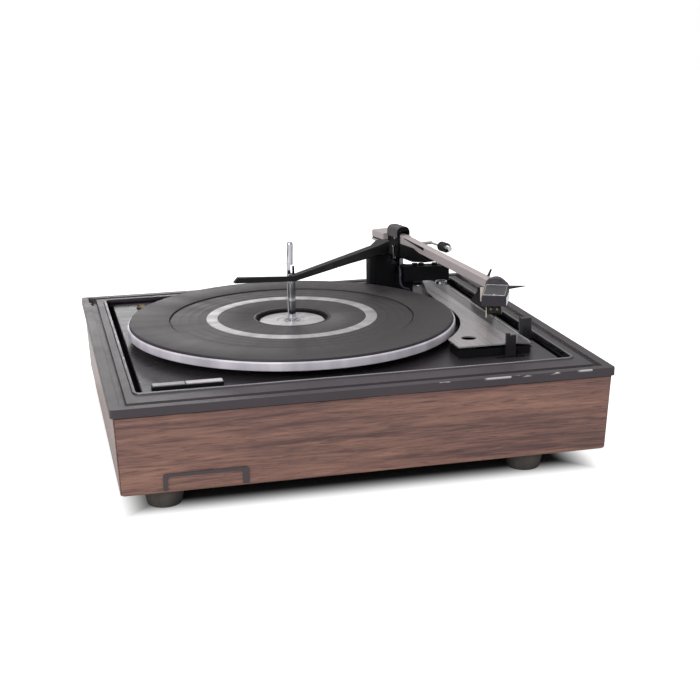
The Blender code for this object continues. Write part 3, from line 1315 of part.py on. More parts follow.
def make_control_housing():
    low = PLATE_TOP + GAP
    fall_share = (CONTROL_TAIL_X - CONTROL_CREASE_X) / (CONTROL_RIGHT_X - CONTROL_CREASE_X)
    high = CONTROL_TOP - CONTROL_SHEET - CONTROL_FALL * fall_share - GAP
    housing = plate("control_housing", [control_outline(CONTROL_SETBACK)], low, high,
                    black_plastic())
    well = cylinder("control_well", (CONTROL_HOLE_X, CONTROL_HOLE_Y), CONTROL_HOLE_RADIUS,
                    high - CONTROL_HOLE_DEPTH, high + OVERRUN, None, 24)
    cut(housing, well, *base_clearance("housing", low - OVERRUN, high + OVERRUN))


def base_clearance(name, low, high):
    """Room for the arm base's boss, seen from above."""
    return [cylinder(name + "_boss_room", (ARM_X, ARM_Y), BOSS_RADIUS + GAP * 2, low, high, None)]


def make_control_plate():
    """A bent sheet: flat, with its right strip falling away past a crease."""
    top = CONTROL_TOP
    fall_slope = CONTROL_FALL / (CONTROL_RIGHT_X - CONTROL_CREASE_X)
    right = CONTROL_TAIL_X + OVERRUN
    right_fall = fall_slope * (right - CONTROL_CREASE_X)
    left = CONTROL_LEFT_X - OVERRUN
    section = [(left, top), (left, top - CONTROL_SHEET), (CONTROL_CREASE_X, top - CONTROL_SHEET),
               (right, top - CONTROL_SHEET - right_fall), (right, top - right_fall),
               (CONTROL_CREASE_X, top)]
    length = CONTROL_NOSE_Y - CONTROL_FRONT_Y + OVERRUN * 2
    sheet = plate("control_plate", [section], -length / 2, length / 2, brushed_metal(),
                  turn=upright_along_y((CONTROL_NOSE_Y + CONTROL_FRONT_Y) / 2))
    prism = plate("control_prism", [control_outline(0)], top - CONTROL_FALL * 4,
                  top + OVERRUN, None)
    keep_common(sheet, prism)
    hole = cylinder("control_hole", (CONTROL_HOLE_X, CONTROL_HOLE_Y), CONTROL_HOLE_RADIUS,
                    top - OVERRUN * 2, top + OVERRUN, None, 32)
    cut(sheet, hole, *base_clearance("sheet", top - OVERRUN * 4, top + OVERRUN))


def make_front_lever():
    """A stepped tab in front of the housing, on a flat lever under the unit plate."""
    strip_top = PLATE_TOP - PLATE_WALL - GAP * 2
    strip_low = strip_top - FRONT_LEVER_STRIP
    middle = FRONT_LEVER_LEFT_X + FRONT_LEVER_WIDTH * FRONT_LEVER_STEP_SHARE
    tab_low = strip_low + FRONT_LEVER_STRIP / 2
    outline = [(FRONT_LEVER_LEFT_X, tab_low), (FRONT_LEVER_RIGHT_X, tab_low),
               (FRONT_LEVER_RIGHT_X, FRONT_LEVER_TOP - FRONT_LEVER_STEP),
               (middle, FRONT_LEVER_TOP - FRONT_LEVER_STEP), (middle, FRONT_LEVER_TOP),
               (FRONT_LEVER_LEFT_X, FRONT_LEVER_TOP)]
    tab = plate("front_lever", [outline], -FRONT_LEVER_THICKNESS / 2, FRONT_LEVER_THICKNESS / 2,
                black_plastic(), turn=upright_along_y(FRONT_LEVER_Y))
    eye = arc(FRONT_LEVER_X, FRONT_LEVER_PIVOT_Y, FRONT_LEVER_PIN * 2, 0, math.pi, 8)
    strip_outline = [(FRONT_LEVER_LEFT_X + GAP, FRONT_LEVER_Y),
                     (FRONT_LEVER_RIGHT_X - GAP, FRONT_LEVER_Y)] + eye
    hole = arc(FRONT_LEVER_X, FRONT_LEVER_PIVOT_Y, FRONT_LEVER_PIN + GAP, math.tau,
               math.tau / 20, 19)
    strip = plate("front_lever_strip", [strip_outline, hole], strip_low, strip_top, None)
    fuse(tab, strip)


def make_right_lever():
    half_width = RIGHT_LEVER_WIDTH / 2
    half_length = RIGHT_LEVER_LENGTH / 2
    knob = box("right_lever",
               (RIGHT_LEVER_X - half_width, RIGHT_LEVER_Y - half_length, RIGHT_LEVER_LOW),
               (RIGHT_LEVER_X + half_width, RIGHT_LEVER_Y + half_length, RIGHT_LEVER_TOP),
               black_plastic())
    soften(knob, RIGHT_LEVER_ROUND, 2)
    foot_top = PLATE_TOP - PLATE_WALL - GAP
    foot_low = foot_top - RIGHT_LEVER_FOOT_THICKNESS
    stem = box("right_lever_stem",
               (RIGHT_LEVER_X - RIGHT_LEVER_STEM / 2, RIGHT_LEVER_Y - RIGHT_LEVER_STEM / 2,
                foot_low + GAP),
               (RIGHT_LEVER_X + RIGHT_LEVER_STEM / 2, RIGHT_LEVER_Y + RIGHT_LEVER_STEM / 2,
                RIGHT_LEVER_LOW + OVERRUN), None)
    foot = box("right_lever_foot",
               (RIGHT_LEVER_X - RIGHT_LEVER_FOOT / 2, RIGHT_LEVER_Y - RIGHT_LEVER_FOOT / 2,
                foot_low),
               (RIGHT_LEVER_X + RIGHT_LEVER_FOOT / 2, RIGHT_LEVER_Y + RIGHT_LEVER_FOOT / 2,
                foot_top), None)
    fuse(knob, stem, foot)


# Arm base, overarm and cue pin

def make_arm_base():
    """One casting: foot, pillar for the overarm, boss for the column and the side wing."""
    low = PLATE_TOP + GAP
    foot = rounded_rectangle(BASE_LEFT_X, BASE_FRONT_Y, BASE_RIGHT_X, BASE_BACK_Y, BASE_CORNER)
    casting = plate("arm_base", [foot], low, BASE_LOW_TOP, black_plastic())
    flare = rounded_rectangle(BASE_LEFT_X - BASE_FLARE, BASE_FRONT_Y + BASE_FLARE,
                              BASE_RIGHT_X, BASE_BACK_Y + BASE_FLARE, BASE_CORNER)
    skirt = plate("base_skirt", [flare], low, low + BASE_FLARE_HEIGHT / 3, None)
    pillar_outline = (arc(BASE_LEFT_X + BASE_CORNER, BASE_FRONT_Y + BASE_CORNER, BASE_CORNER,
                          math.pi, math.pi * 3 / 2, 5)
                      + arc(PILLAR_FRONT_X - BASE_CORNER / 2, BASE_FRONT_Y + BASE_CORNER / 2,
                            BASE_CORNER / 2, -math.pi / 2, -math.pi / 8, 4)
                      + [(PILLAR_SHOULDER_X, PILLAR_SHOULDER_Y), (PILLAR_BACK_X, BASE_BACK_Y)]
                      + arc(BASE_LEFT_X + BASE_CORNER, BASE_BACK_Y - BASE_CORNER, BASE_CORNER,
                            math.pi / 2, math.pi, 5))
    pillar = plate("base_pillar", [pillar_outline], low + OVERRUN, PILLAR_TOP, None)
    boss = cylinder("base_boss", (ARM_X, ARM_Y), BOSS_RADIUS, low, BOSS_TOP, None)
    bridge = box("base_bridge", (BASE_RIGHT_X - BASE_CORNER, WING_BACK_Y - BRIDGE_LAP, low),
                 (ARM_X + BRIDGE_LAP, BASE_BACK_Y - BRIDGE_LAP / 2, BRIDGE_TOP), None)
    wing_outline = [(WING_LEFT_X, WING_LOW), (WING_RIGHT_X, WING_LOW),
                    (WING_RIGHT_X, WING_TOP - WING_TAIL_DROP * 2),
                    (WING_RIGHT_X - WING_TAIL_DROP * 2, WING_TOP - WING_TAIL_DROP),
                    (WING_LEFT_X, WING_TOP)]
    depth = WING_BACK_Y - WING_FRONT_Y
    wing = plate("base_wing", [wing_outline], -depth / 2, depth / 2, None,
                 turn=upright_along_y((WING_FRONT_Y + WING_BACK_Y) / 2))
    guide = cylinder("cue_guide", (CUE_X, CUE_Y), CUE_GUIDE_RADIUS, WING_LOW + GAP, CUE_GUIDE_TOP,
                     None, 20)
    fuse(casting, skirt, pillar, boss, bridge, wing, guide)
    span = WING_RIGHT_X - WING_LEFT_X
    for number, share in enumerate(STUD_PLACE_SHARES):
        x = WING_LEFT_X + span * share
        stud = cylinder(f"wing_stud_{number}", (x, (WING_FRONT_Y + WING_BACK_Y) / 2), STUD_RADIUS,
                        WING_LOW + OVERRUN, WING_TOP + STUD_HEIGHT - WING_TAIL_DROP * share,
                        None, 16)
        fuse(casting, stud)
    bores = [
        cylinder("column_bore", (ARM_X, ARM_Y), COLUMN_RADIUS + RUNNING_GAP, low - OVERRUN,
                 BOSS_TOP + OVERRUN, None, 24),
        cylinder("post_bore", (POST_X, POST_Y), POST_RADIUS + RUNNING_GAP, POST_LOW - GAP,
                 PILLAR_TOP + OVERRUN, None, 24),
        cylinder("cue_bore", (CUE_X, CUE_Y), CUE_RADIUS + RUNNING_GAP, CUE_LOW - GAP,
                 WING_TOP + OVERRUN, None, 20),
    ]
    cut(casting, *bores)


def make_cue_pin():
    top = SADDLE_LOW - RUNNING_GAP * 2
    crown = CUE_RADIUS / 2
    profile = [(0, top), (CUE_RADIUS - crown, top), (CUE_RADIUS, top - crown),
               (CUE_RADIUS, CUE_LOW), (0, CUE_LOW)]
    turned("cue_pin", profile, (CUE_X, CUE_Y), ivory(), 20, closed=False)


def make_overarm_post():
    cylinder("overarm_post", (POST_X, POST_Y), POST_RADIUS, POST_LOW, POST_TOP, steel(), 24)


def overarm_point(along, across):
    """A point by its distance from the bend along the arm's back edge, and across to the front."""
    x = OVERARM_BEND_X + along * math.cos(OVERARM_HEADING) + across * math.sin(OVERARM_HEADING)
    y = OVERARM_BEND_Y + along * math.sin(OVERARM_HEADING) - across * math.cos(OVERARM_HEADING)
    return (x, y)


def make_overarm():
    outline = [(OVERARM_TIP_X, OVERARM_TIP_Y), overarm_point(0, 0),
               overarm_point(OVERARM_NECK, 0)]
    outline += arc(POST_X, POST_Y, OVERARM_HUB_RADIUS, OVERARM_HEADING + OVERARM_HUB_SWEEP,
                   OVERARM_HEADING - OVERARM_HUB_SWEEP, 9)
    outline += [overarm_point(OVERARM_NECK, OVERARM_NECK_WIDTH),
                overarm_point(OVERARM_WIDTH / 2, OVERARM_WIDTH),
                (OVERARM_TIP_X + OVERARM_CHAMFER * OVERARM_TIP_SHARE,
                 OVERARM_TIP_Y - OVERARM_TIP_WIDTH)]
    arm = plate("overarm", [outline], OVERARM_ROOT_LOW, OVERARM_TOP, black_plastic())
    tip_low = OVERARM_TOP - OVERARM_TIP_THICKNESS
    reach = POST_X - OVERARM_RELIEF_GAP
    wedge_profile = [(OVERARM_TIP_X - OVERRUN, OVERARM_ROOT_LOW - OVERRUN),
                     (reach, OVERARM_ROOT_LOW - OVERRUN), (reach, OVERARM_ROOT_LOW),
                     (OVERARM_BEND_X, tip_low), (OVERARM_TIP_X - OVERRUN, tip_low)]
    depth = OVERARM_SPAN_Y * 2
    relief = plate("overarm_relief", [wedge_profile], -depth / 2, depth / 2, None,
                   turn=upright_along_y((POST_Y + OVERARM_BEND_Y) / 2))
    chamfer_profile = [(OVERARM_TIP_X - OVERRUN, OVERARM_TOP + GAP),
                       (OVERARM_TIP_X - OVERRUN, tip_low),
                       (OVERARM_TIP_X, tip_low),
                       (OVERARM_TIP_X + OVERARM_CHAMFER, OVERARM_TOP + GAP)]
    chamfer = plate("overarm_chamfer", [chamfer_profile], -depth / 2, depth / 2, None,
                    turn=upright_along_y((POST_Y + OVERARM_BEND_Y) / 2))
    socket = cylinder("overarm_socket", (POST_X, POST_Y), POST_RADIUS + RUNNING_GAP,
                      OVERARM_ROOT_LOW - OVERRUN, POST_TOP + GAP, None, 24)
    cut(arm, relief, chamfer, socket)


# Tonearm

def arm_frame():
    return frame_empty("tonearm_line", (ARM_X, ARM_Y, 0), ARM_YAW)


def make_yoke(line):
    """A portal round the beam on its bearing column, with a rounded arch for a cap."""
    half = YOKE_HALF_WIDTH
    outline = [(-half, YOKE_LOW), (half, YOKE_LOW)]
    outline += arc(half - YOKE_ROUND, YOKE_TOP - YOKE_ROUND, YOKE_ROUND, 0, math.pi / 2, 5)
    outline += arc(YOKE_ROUND - half, YOKE_TOP - YOKE_ROUND, YOKE_ROUND, math.pi / 2, math.pi, 5)
    length = YOKE_FRONT + YOKE_REAR
    yoke = plate("arm_yoke", [outline], -length / 2, length / 2, arm_grey(), parent=line,
                 turn=upright_along_x((YOKE_FRONT - YOKE_REAR) / 2))
    window = box("yoke_window", (-YOKE_REAR - OVERRUN, -YOKE_WINDOW_HALF, YOKE_WINDOW_LOW),
                 (YOKE_FRONT + OVERRUN, YOKE_WINDOW_HALF, YOKE_WINDOW_TOP), None, parent=line)
    pin_hole = rod("yoke_pin_hole", (0, -half - OVERRUN, ARM_AXIS_Z),
                   (0, half + OVERRUN, ARM_AXIS_Z), GIMBAL_PIN + GAP, None, 16, parent=line)
    column = cylinder("yoke_column", (0, 0), COLUMN_RADIUS, COLUMN_LOW, YOKE_LOW + OVERRUN,
                      None, 24, parent=line)
    fuse(yoke, column)
    cut(yoke, window, pin_hole)


def make_feeler_rod(line):
    profile = [(0, ROD_TOP + ROD_RADIUS), (ROD_HEAD, ROD_TOP + ROD_RADIUS / 2),
               (ROD_HEAD, ROD_TOP - ROD_RADIUS), (ROD_RADIUS, ROD_TOP - ROD_HEAD),
               (ROD_RADIUS, ROD_LOW), (0, ROD_LOW)]
    centre = (ROD_FRONT, -YOKE_HALF_WIDTH - GAP - ROD_HEAD)
    turned("feeler_rod", profile, centre, bright_metal(), 16, closed=False, parent=line)


def sloped(along):
    """Height of the beam's centre line at a distance from the pivot."""
    return ARM_AXIS_Z - along * math.tan(ARM_SLOPE)


def make_beam(line):
    half = BEAM_SIZE / 2
    side = [(-BEAM_REAR, sloped(-BEAM_REAR) - half), (BEAM_LENGTH, sloped(BEAM_LENGTH) - half),
            (BEAM_LENGTH, sloped(BEAM_LENGTH) + half), (-BEAM_REAR, sloped(-BEAM_REAR) + half)]
    beam = plate("tonearm_beam", [side], -half, half, arm_grey(), parent=line,
                 turn=upright_along_y(0))
    soften(beam, BEAM_ROUND, 2)
    stub_z = ARM_AXIS_Z - BEAM_STUB_DROP
    stub = rod("beam_stub", (-BEAM_REAR + OVERRUN, 0, stub_z), (-BEAM_STUB_END, 0, stub_z),
               BEAM_STUB_RADIUS, None, 16, parent=line)
    pin = rod("beam_pin", (0, -YOKE_HALF_WIDTH, ARM_AXIS_Z), (0, YOKE_HALF_WIDTH, ARM_AXIS_Z),
              GIMBAL_PIN, None, 16, parent=line)
    lug_z = KNOB_Z
    lug = box("knob_lug", (KNOB_REACH - KNOB_SHAFT_REACH - KNOB_LUG, 0, lug_z - KNOB_LUG),
              (KNOB_REACH - KNOB_SHAFT_REACH + KNOB_LUG, KNOB_SHIFT + KNOB_LUG,
               lug_z + KNOB_LUG), None, parent=line)
    tab_side = ARM_TAB_WIDTH / 2
    tab = box("arm_tab", (ARM_TAB_REACH - tab_side, -half, sloped(ARM_TAB_REACH)),
              (ARM_TAB_REACH + tab_side, -half + ARM_TAB_THICKNESS,
               sloped(ARM_TAB_REACH) + ARM_TAB_RISE), None, parent=line)
    fuse(beam, stub, pin, lug, tab)
    shaft_room = rod("knob_shaft_room",
                     (KNOB_REACH - KNOB_SHAFT_REACH * 2, KNOB_SHIFT, lug_z),
                     (KNOB_REACH, KNOB_SHIFT, lug_z), KNOB_SHAFT + GAP, None, 16, parent=line)
    cut(beam, shaft_room)


def make_counterweight(line):
    weight = box("counterweight", (-WEIGHT_REAR, -WEIGHT_WIDTH / 2, WEIGHT_LOW),
                 (-WEIGHT_FRONT, WEIGHT_WIDTH / 2, WEIGHT_TOP), arm_grey(), parent=line)
    soften(weight, WEIGHT_ROUND, 2)
    bore = rod("weight_bore", (-WEIGHT_FRONT + OVERRUN, 0, ARM_AXIS_Z - BEAM_STUB_DROP),
               (-BEAM_STUB_END - GAP, 0, ARM_AXIS_Z - BEAM_STUB_DROP), BEAM_STUB_RADIUS + GAP,
               None, 16, parent=line)
    cut(weight, bore)


def make_saddle(line):
    """The moulding that wraps the beam's left side and underside near the pivot."""
    half = SADDLE_HALF_WIDTH
    outline = [(SADDLE_START, SADDLE_LOW), (SADDLE_FRONT, SADDLE_LOW),
               (SADDLE_END, SADDLE_TIP_LOW), (SADDLE_END, SADDLE_TIP_LOW + OVERRUN),
               (SADDLE_FRONT, SADDLE_TOP), (SADDLE_START, SADDLE_TOP)]
    saddle = plate("arm_saddle", [outline], -half, half, black_plastic(), parent=line,
                   turn=upright_along_y(0))
    room = BEAM_SIZE / 2 + GAP
    channel_side = [(SADDLE_START - OVERRUN, sloped(SADDLE_START - OVERRUN) - room),
                    (SADDLE_END + OVERRUN, sloped(SADDLE_END + OVERRUN) - room),
                    (SADDLE_END + OVERRUN, sloped(SADDLE_END) + room),
                    (SADDLE_START - OVERRUN, sloped(SADDLE_START) + room)]
    channel = plate("saddle_channel", [channel_side], -half - OVERRUN, room, None, parent=line,
                    turn=upright_along_y(0))
    cut(saddle, channel)


def make_force_knob(line):
    """A ribbed knob on a screw beside the beam, with a bright tip."""
    outline = []
    for rib in range(KNOB_RIB_COUNT):
        angle = math.tau * rib / KNOB_RIB_COUNT
        step = math.tau / KNOB_RIB_COUNT / 4
        outline += arc(0, 0, KNOB_RADIUS, angle - step, angle + step, 1)
        outline += arc(0, 0, KNOB_RADIUS * KNOB_RIB_DEPTH_SHARE, angle + step * 2,
                       angle + step * 2, 1)[:1]
    knob = plate("force_knob", [outline], 0, KNOB_LENGTH, black_plastic(), parent=line,
                 turn=(Matrix.Translation((KNOB_REACH, KNOB_SHIFT, KNOB_Z))
                       @ Matrix.Rotation(math.pi / 2, 4, "Y")))
    tip = rod("knob_tip", (KNOB_REACH + KNOB_LENGTH - OVERRUN, KNOB_SHIFT, KNOB_Z),
              (KNOB_REACH + KNOB_LENGTH + KNOB_TIP_LENGTH, KNOB_SHIFT, KNOB_Z),
              KNOB_TIP_RADIUS, None, 20, KNOB_TIP_END, parent=line)
    shaft = rod("knob_shaft",
                (KNOB_REACH - KNOB_SHAFT_REACH - KNOB_LUG * 2, KNOB_SHIFT, KNOB_Z),
                (KNOB_REACH + OVERRUN, KNOB_SHIFT, KNOB_Z), KNOB_SHAFT, None, 16, parent=line)
    fuse(knob, tip, shaft)


# Headshell

def shell_frame():
    """Axes of the headshell: Y runs from its front to its back."""
    return frame_empty("headshell_line", (SHELL_FRONT_X, SHELL_FRONT_Y, 0), -SHELL_YAW)


def make_headshell(frame, line):
    """An arched shell, open below, with a socket for the beam and a finger lift."""
    half = SHELL_WIDTH / 2
    low = SHELL_FRONT_TOP - SHELL_FACE
    outline = [(-half, low), (half, low), (half, SHELL_FRONT_TOP - SHELL_CROWN)]
    crown_count = 6
    for step in range(1, crown_count):
        share = step / crown_count
        height = SHELL_FRONT_TOP - SHELL_CROWN + SHELL_CROWN * math.sin(math.pi * share)
        outline.append((half - SHELL_WIDTH * share, height))
    outline.append((-half, SHELL_FRONT_TOP - SHELL_CROWN))
    blank_top = SHELL_FRONT_TOP + SHELL_RISE
    raised = [(x, z + (SHELL_RISE if z > low else 0)) for x, z in outline]
    shell = plate("headshell", [raised], -SHELL_LENGTH / 2, SHELL_LENGTH / 2, arm_grey(),
                  parent=frame, turn=upright_along_y(SHELL_LENGTH / 2))
    slope_profile = [(-OVERRUN, SHELL_FRONT_TOP - SHELL_CROWN), (-OVERRUN, blank_top + OVERRUN),
                     (SHELL_LENGTH * SHELL_RISE_SHARE, blank_top + OVERRUN),
                     (SHELL_LENGTH * SHELL_RISE_SHARE, blank_top)]
    slope = plate("shell_slope", [slope_profile], -half * 2, half * 2, None, parent=frame,
                  turn=upright_along_x(0))
    inside = box("shell_inside", (-half + SHELL_WALL, SHELL_WALL, low - OVERRUN),
                 (half - SHELL_WALL, SHELL_LENGTH - SHELL_WALL * 2,
                  SHELL_FRONT_TOP - SHELL_CROWN - SHELL_WALL), None, parent=frame)
    lift = rod("finger_lift", (half - SHELL_WALL, SHELL_LENGTH - LIFT_INSET, LIFT_Z - LIFT_ROOT),
               (half + LIFT_REACH, SHELL_LENGTH - LIFT_TIP_INSET, LIFT_Z), LIFT_ROOT_RADIUS,
               None, 12, LIFT_TIP, parent=frame)
    cut(shell, slope, inside)
    fuse(shell, lift)
    beam_room = BEAM_SIZE / 2 + GAP
    socket_side = [(BEAM_LENGTH - SHELL_LENGTH, sloped(BEAM_LENGTH - SHELL_LENGTH) - beam_room),
                   (BEAM_LENGTH + GAP, sloped(BEAM_LENGTH) - beam_room),
                   (BEAM_LENGTH + GAP, sloped(BEAM_LENGTH) + beam_room),
                   (BEAM_LENGTH - SHELL_LENGTH,
                    sloped(BEAM_LENGTH - SHELL_LENGTH) + beam_room)]
    socket = plate("shell_socket", [socket_side], -beam_room, beam_room, None, parent=line,
                   turn=upright_along_y(0))
    cut(shell, socket)


def make_cartridge(frame):
    half = CARTRIDGE_WIDTH / 2
    top = SHELL_FRONT_TOP - SHELL_CROWN - SHELL_WALL - GAP
    body = box("cartridge", (-half, CARTRIDGE_INSET, CARTRIDGE_LOW),
               (half, CARTRIDGE_INSET + CARTRIDGE_LENGTH, top), black_plastic(), parent=frame)
    soften(body, STYLUS_RADIUS, 1)
    nose = [(CARTRIDGE_INSET - OVERRUN, CARTRIDGE_LOW - OVERRUN),
            (CARTRIDGE_INSET + CARTRIDGE_LENGTH / 4, CARTRIDGE_LOW - OVERRUN),
            (CARTRIDGE_INSET - OVERRUN, CARTRIDGE_LOW + OVERRUN * 2)]
    wedge = plate("cartridge_wedge", [nose], -half * 2, half * 2, None, parent=frame,
                  turn=upright_along_x(0))
    cut(body, wedge)
    stylus = rod("stylus", (0, CARTRIDGE_INSET + CARTRIDGE_LENGTH / 2, CARTRIDGE_LOW + OVERRUN),
                 (0, CARTRIDGE_INSET, CARTRIDGE_LOW - STYLUS_DROP), STYLUS_RADIUS, None, 8,
                 STYLUS_RADIUS / 2, parent=frame)
    fuse(body, stylus)


def make_clip(frame):
    """A bright spring clip down the cartridge's left side."""
    side = -CARTRIDGE_WIDTH / 2 - GAP
    clip = box("cartridge_clip", (side - CLIP_THICKNESS, CLIP_INSET, CLIP_LOW),
               (side, CLIP_INSET + CLIP_WIDTH, CLIP_TOP), bright_metal(), parent=frame)
    soften(clip, CLIP_THICKNESS / 4, 1)


# Arm rest

def make_arm_rest():
    """A triangular web on the unit plate, with a shelf under the beam."""
    low = PLATE_TOP + GAP
    outline = [(REST_FRONT_Y, low), (REST_BACK_Y, low), (REST_BACK_Y, low + REST_TOE),
               (REST_APEX_Y, REST_TOP), (REST_FRONT_Y, REST_TOP)]
    web = plate("arm_rest", [outline], 0, REST_THICKNESS, black_plastic(),
                turn=upright_along_x(REST_X))
    shelf = box("rest_shelf", (REST_SHELF_LEFT_X, REST_FRONT_Y + LINER_THICKNESS + GAP,
                               REST_SHELF_LOW),
                (REST_X + REST_THICKNESS / 2, REST_SHELF_Y + LINER_THICKNESS, REST_SHELF_TOP),
                None)
    foot = box("rest_foot", (REST_X + REST_THICKNESS / 2, REST_FRONT_Y, low),
               (REST_FOOT_X, REST_BACK_Y - REST_TOE, low + REST_TOE / 2), None)
    fuse(web, shelf, foot)


def make_rest_liner():
    liner = box("arm_rest_liner", (LINER_LEFT_X, REST_FRONT_Y, LINER_LOW),
                (LINER_RIGHT_X, REST_FRONT_Y + LINER_THICKNESS, LINER_TOP), ivory())
    soften(liner, LINER_THICKNESS / 6, 1)


def main():
    clear_scene()
    make_boards()
    make_grommet()
    make_corner_blocks()
    make_bottom_board()
    make_feet()
    make_motor_board()
    make_inlay()
    make_top_frame()
    make_bead()
    make_unit_plate()
    make_springs()
    make_transit_screws()
    make_badge()
    make_bearing_tube()
    make_spindle()
    make_pusher()
    make_platter()
    make_mat()
    make_trim_ring()
    make_centre_disc()
    make_motor()
    make_rotor()
    make_motor_bracket()
    make_idler()
    make_cam_gear()
    make_control_housing()
    make_control_plate()
    make_front_lever()
    make_right_lever()
    make_arm_base()
    make_cue_pin()
    make_overarm_post()
    make_overarm()
    line = arm_frame()
    make_yoke(line)
    make_feeler_rod(line)
    make_beam(line)
    make_counterweight(line)
    make_saddle(line)
    make_force_knob(line)
    frame = shell_frame()
    make_headshell(frame, line)
    make_cartridge(frame)
    make_clip(frame)
    make_arm_rest()
    make_rest_liner()
    bpy.context.view_layer.update()


if __name__ == "__main__":
    main()
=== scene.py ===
"""Looks of the record changer: finishes, finely made pieces and the studio.

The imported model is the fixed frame. Lengths are in metres, +Z is up and the front faces -Y.
"""

import json
import math

import bmesh
import bpy
from bpy.props import FloatProperty, FloatVectorProperty, IntProperty, PointerProperty
from mathutils import Matrix, Vector

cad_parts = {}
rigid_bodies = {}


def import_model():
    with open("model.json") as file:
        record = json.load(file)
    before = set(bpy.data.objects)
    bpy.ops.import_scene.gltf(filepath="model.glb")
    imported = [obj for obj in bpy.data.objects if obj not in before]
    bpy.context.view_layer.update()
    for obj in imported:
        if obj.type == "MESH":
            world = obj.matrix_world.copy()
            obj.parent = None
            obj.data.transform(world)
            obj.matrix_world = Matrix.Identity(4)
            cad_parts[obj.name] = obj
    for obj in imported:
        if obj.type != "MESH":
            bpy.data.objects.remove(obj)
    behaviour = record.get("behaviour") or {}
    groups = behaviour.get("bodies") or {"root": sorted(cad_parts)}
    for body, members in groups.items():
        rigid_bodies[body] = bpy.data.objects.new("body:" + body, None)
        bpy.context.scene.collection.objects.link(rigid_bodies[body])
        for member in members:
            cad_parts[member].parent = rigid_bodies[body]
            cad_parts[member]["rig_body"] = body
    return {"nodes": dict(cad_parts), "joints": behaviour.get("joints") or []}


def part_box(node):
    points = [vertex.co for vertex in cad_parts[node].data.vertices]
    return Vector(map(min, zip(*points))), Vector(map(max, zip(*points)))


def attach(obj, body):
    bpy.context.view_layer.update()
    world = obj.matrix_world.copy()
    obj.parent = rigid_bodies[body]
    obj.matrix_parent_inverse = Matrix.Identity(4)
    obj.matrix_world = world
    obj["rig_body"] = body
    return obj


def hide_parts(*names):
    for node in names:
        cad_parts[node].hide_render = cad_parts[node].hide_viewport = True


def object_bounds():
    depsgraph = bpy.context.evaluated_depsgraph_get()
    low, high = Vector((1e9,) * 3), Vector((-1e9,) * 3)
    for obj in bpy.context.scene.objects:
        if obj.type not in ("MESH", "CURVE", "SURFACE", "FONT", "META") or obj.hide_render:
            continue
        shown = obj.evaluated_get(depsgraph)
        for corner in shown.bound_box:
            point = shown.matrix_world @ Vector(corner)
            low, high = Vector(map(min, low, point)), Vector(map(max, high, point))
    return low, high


bl_info = {
    "name": "Record changer looks",
    "version": (1, 0, 0),
    "blender": (4, 5, 0),
    "location": "View3D > Sidebar > Record changer",
    "description": "Finishes, fine pieces and studio for a record changer on its plinth",
    "category": "Object",
}

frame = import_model()
CAD_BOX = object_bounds()
NODES = frame["nodes"]
ARM_JOINT = next(joint for joint in frame["joints"] if joint["name"] == "tonearm_lift")


# Places taken from the frame

def middle(node):
    low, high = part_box(node)
    return (low + high) / 2


def half_width(node):
    low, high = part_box(node)
    return (high.x - low.x) / 2


def arm_matrix():
    """Axes of the tonearm: X along the beam to the head, Y to the plinth's right, Z up."""
    up = Vector((0, 0, 1))
    right = -Vector(ARM_JOINT["axis"]).normalized()
    place = Matrix((right.cross(up), right, up)).transposed().to_4x4()
    place.translation = (PIVOT.x, PIVOT.y, 0)
    return place


PLATTER_CENTRE = middle("platter")
PLATTER_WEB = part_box("platter_mat")[0].z - 0.0003
PIVOT = Vector(ARM_JOINT["pos_m"])
ARM = arm_matrix()
# In ARM_ALONG, outlines of (y, z) run along the arm; in ARM_ACROSS, outlines of (x, z) run
# along its -Y.
ARM_ALONG = ARM @ Matrix(((0, 0, 1, 0), (1, 0, 0, 0), (0, 1, 0, 0), (0, 0, 0, 1)))
ARM_ACROSS = ARM @ Matrix(((1, 0, 0, 0), (0, 0, -1, 0), (0, 1, 0, 0), (0, 0, 0, 1)))
SHELL = Matrix.Translation((0.135, -0.063, 0)) @ Matrix.Rotation(math.radians(-26), 4, "Z")

# Sizes that several steps share
RING_WIDTH = 0.0098
BEAM_HALF = 0.0040
BEAM_FALL = math.tan(math.radians(4.75))
KNOB_HEIGHT = 0.1301
SHELL_HALF = 0.01025
SHELL_LENGTH = 0.0320
PLATE_CREASE = 0.1360
# Spans of the top frame's front edge where worn paint carries a painted highlight, and the pale
# colour of both the worn chips and that painted highlight
WORN_HIGHLIGHT_STREAKS = ((0.0850, 0.1063), (0.1600, 0.1722))
WEAR_AND_HIGHLIGHT_COLOUR = (0.66, 0.64, 0.64)

# Distance between the rings of a wave texture at scale 1
WAVE_PITCH = 0.32

# Distances under which points are one, and the angle under which faces are one
PIECE_MERGE = 0.000001
CAD_MERGE = 0.000002
TURNED_MERGE = 0.0000001
FLAT = math.radians(1.0)

# Softened edges: how many facets, and from which angle on
EDGE_FACETS = 2
EDGE_ANGLE = math.radians(38.0)

# The studio: tones of the floor's painted shadow under the plinth and of the floor beside it, the
# glow that the camera sees, how far in and out the painted shadow below the plinth ends, and what
# the lamps aim at
PAINTED_SHADOW_AND_FLOOR_TONES = (0.10, 0.90)
FLOOR_GLOW = 0.72
PAINTED_SHADOW_ENDS = (-0.034, 0.002)
LAMP_AIM = Vector((0, 0, 0.08))


# Sizes and colours that a user would change

def colour(name, description, default):
    return FloatVectorProperty(name=name, description=description, subtype="COLOR", size=3,
                               min=0, max=1, default=default)


def length(name, description, default, least, most):
    return FloatProperty(name=name, description=description, default=default, min=least,
                         max=most, unit="LENGTH")


def bearing(name, description, default):
    return FloatProperty(name=name, description=description, default=default, unit="ROTATION")


def power(name, description, default, most):
    return FloatProperty(name=name, description=description, default=default, min=0, max=most,
                         unit="POWER")


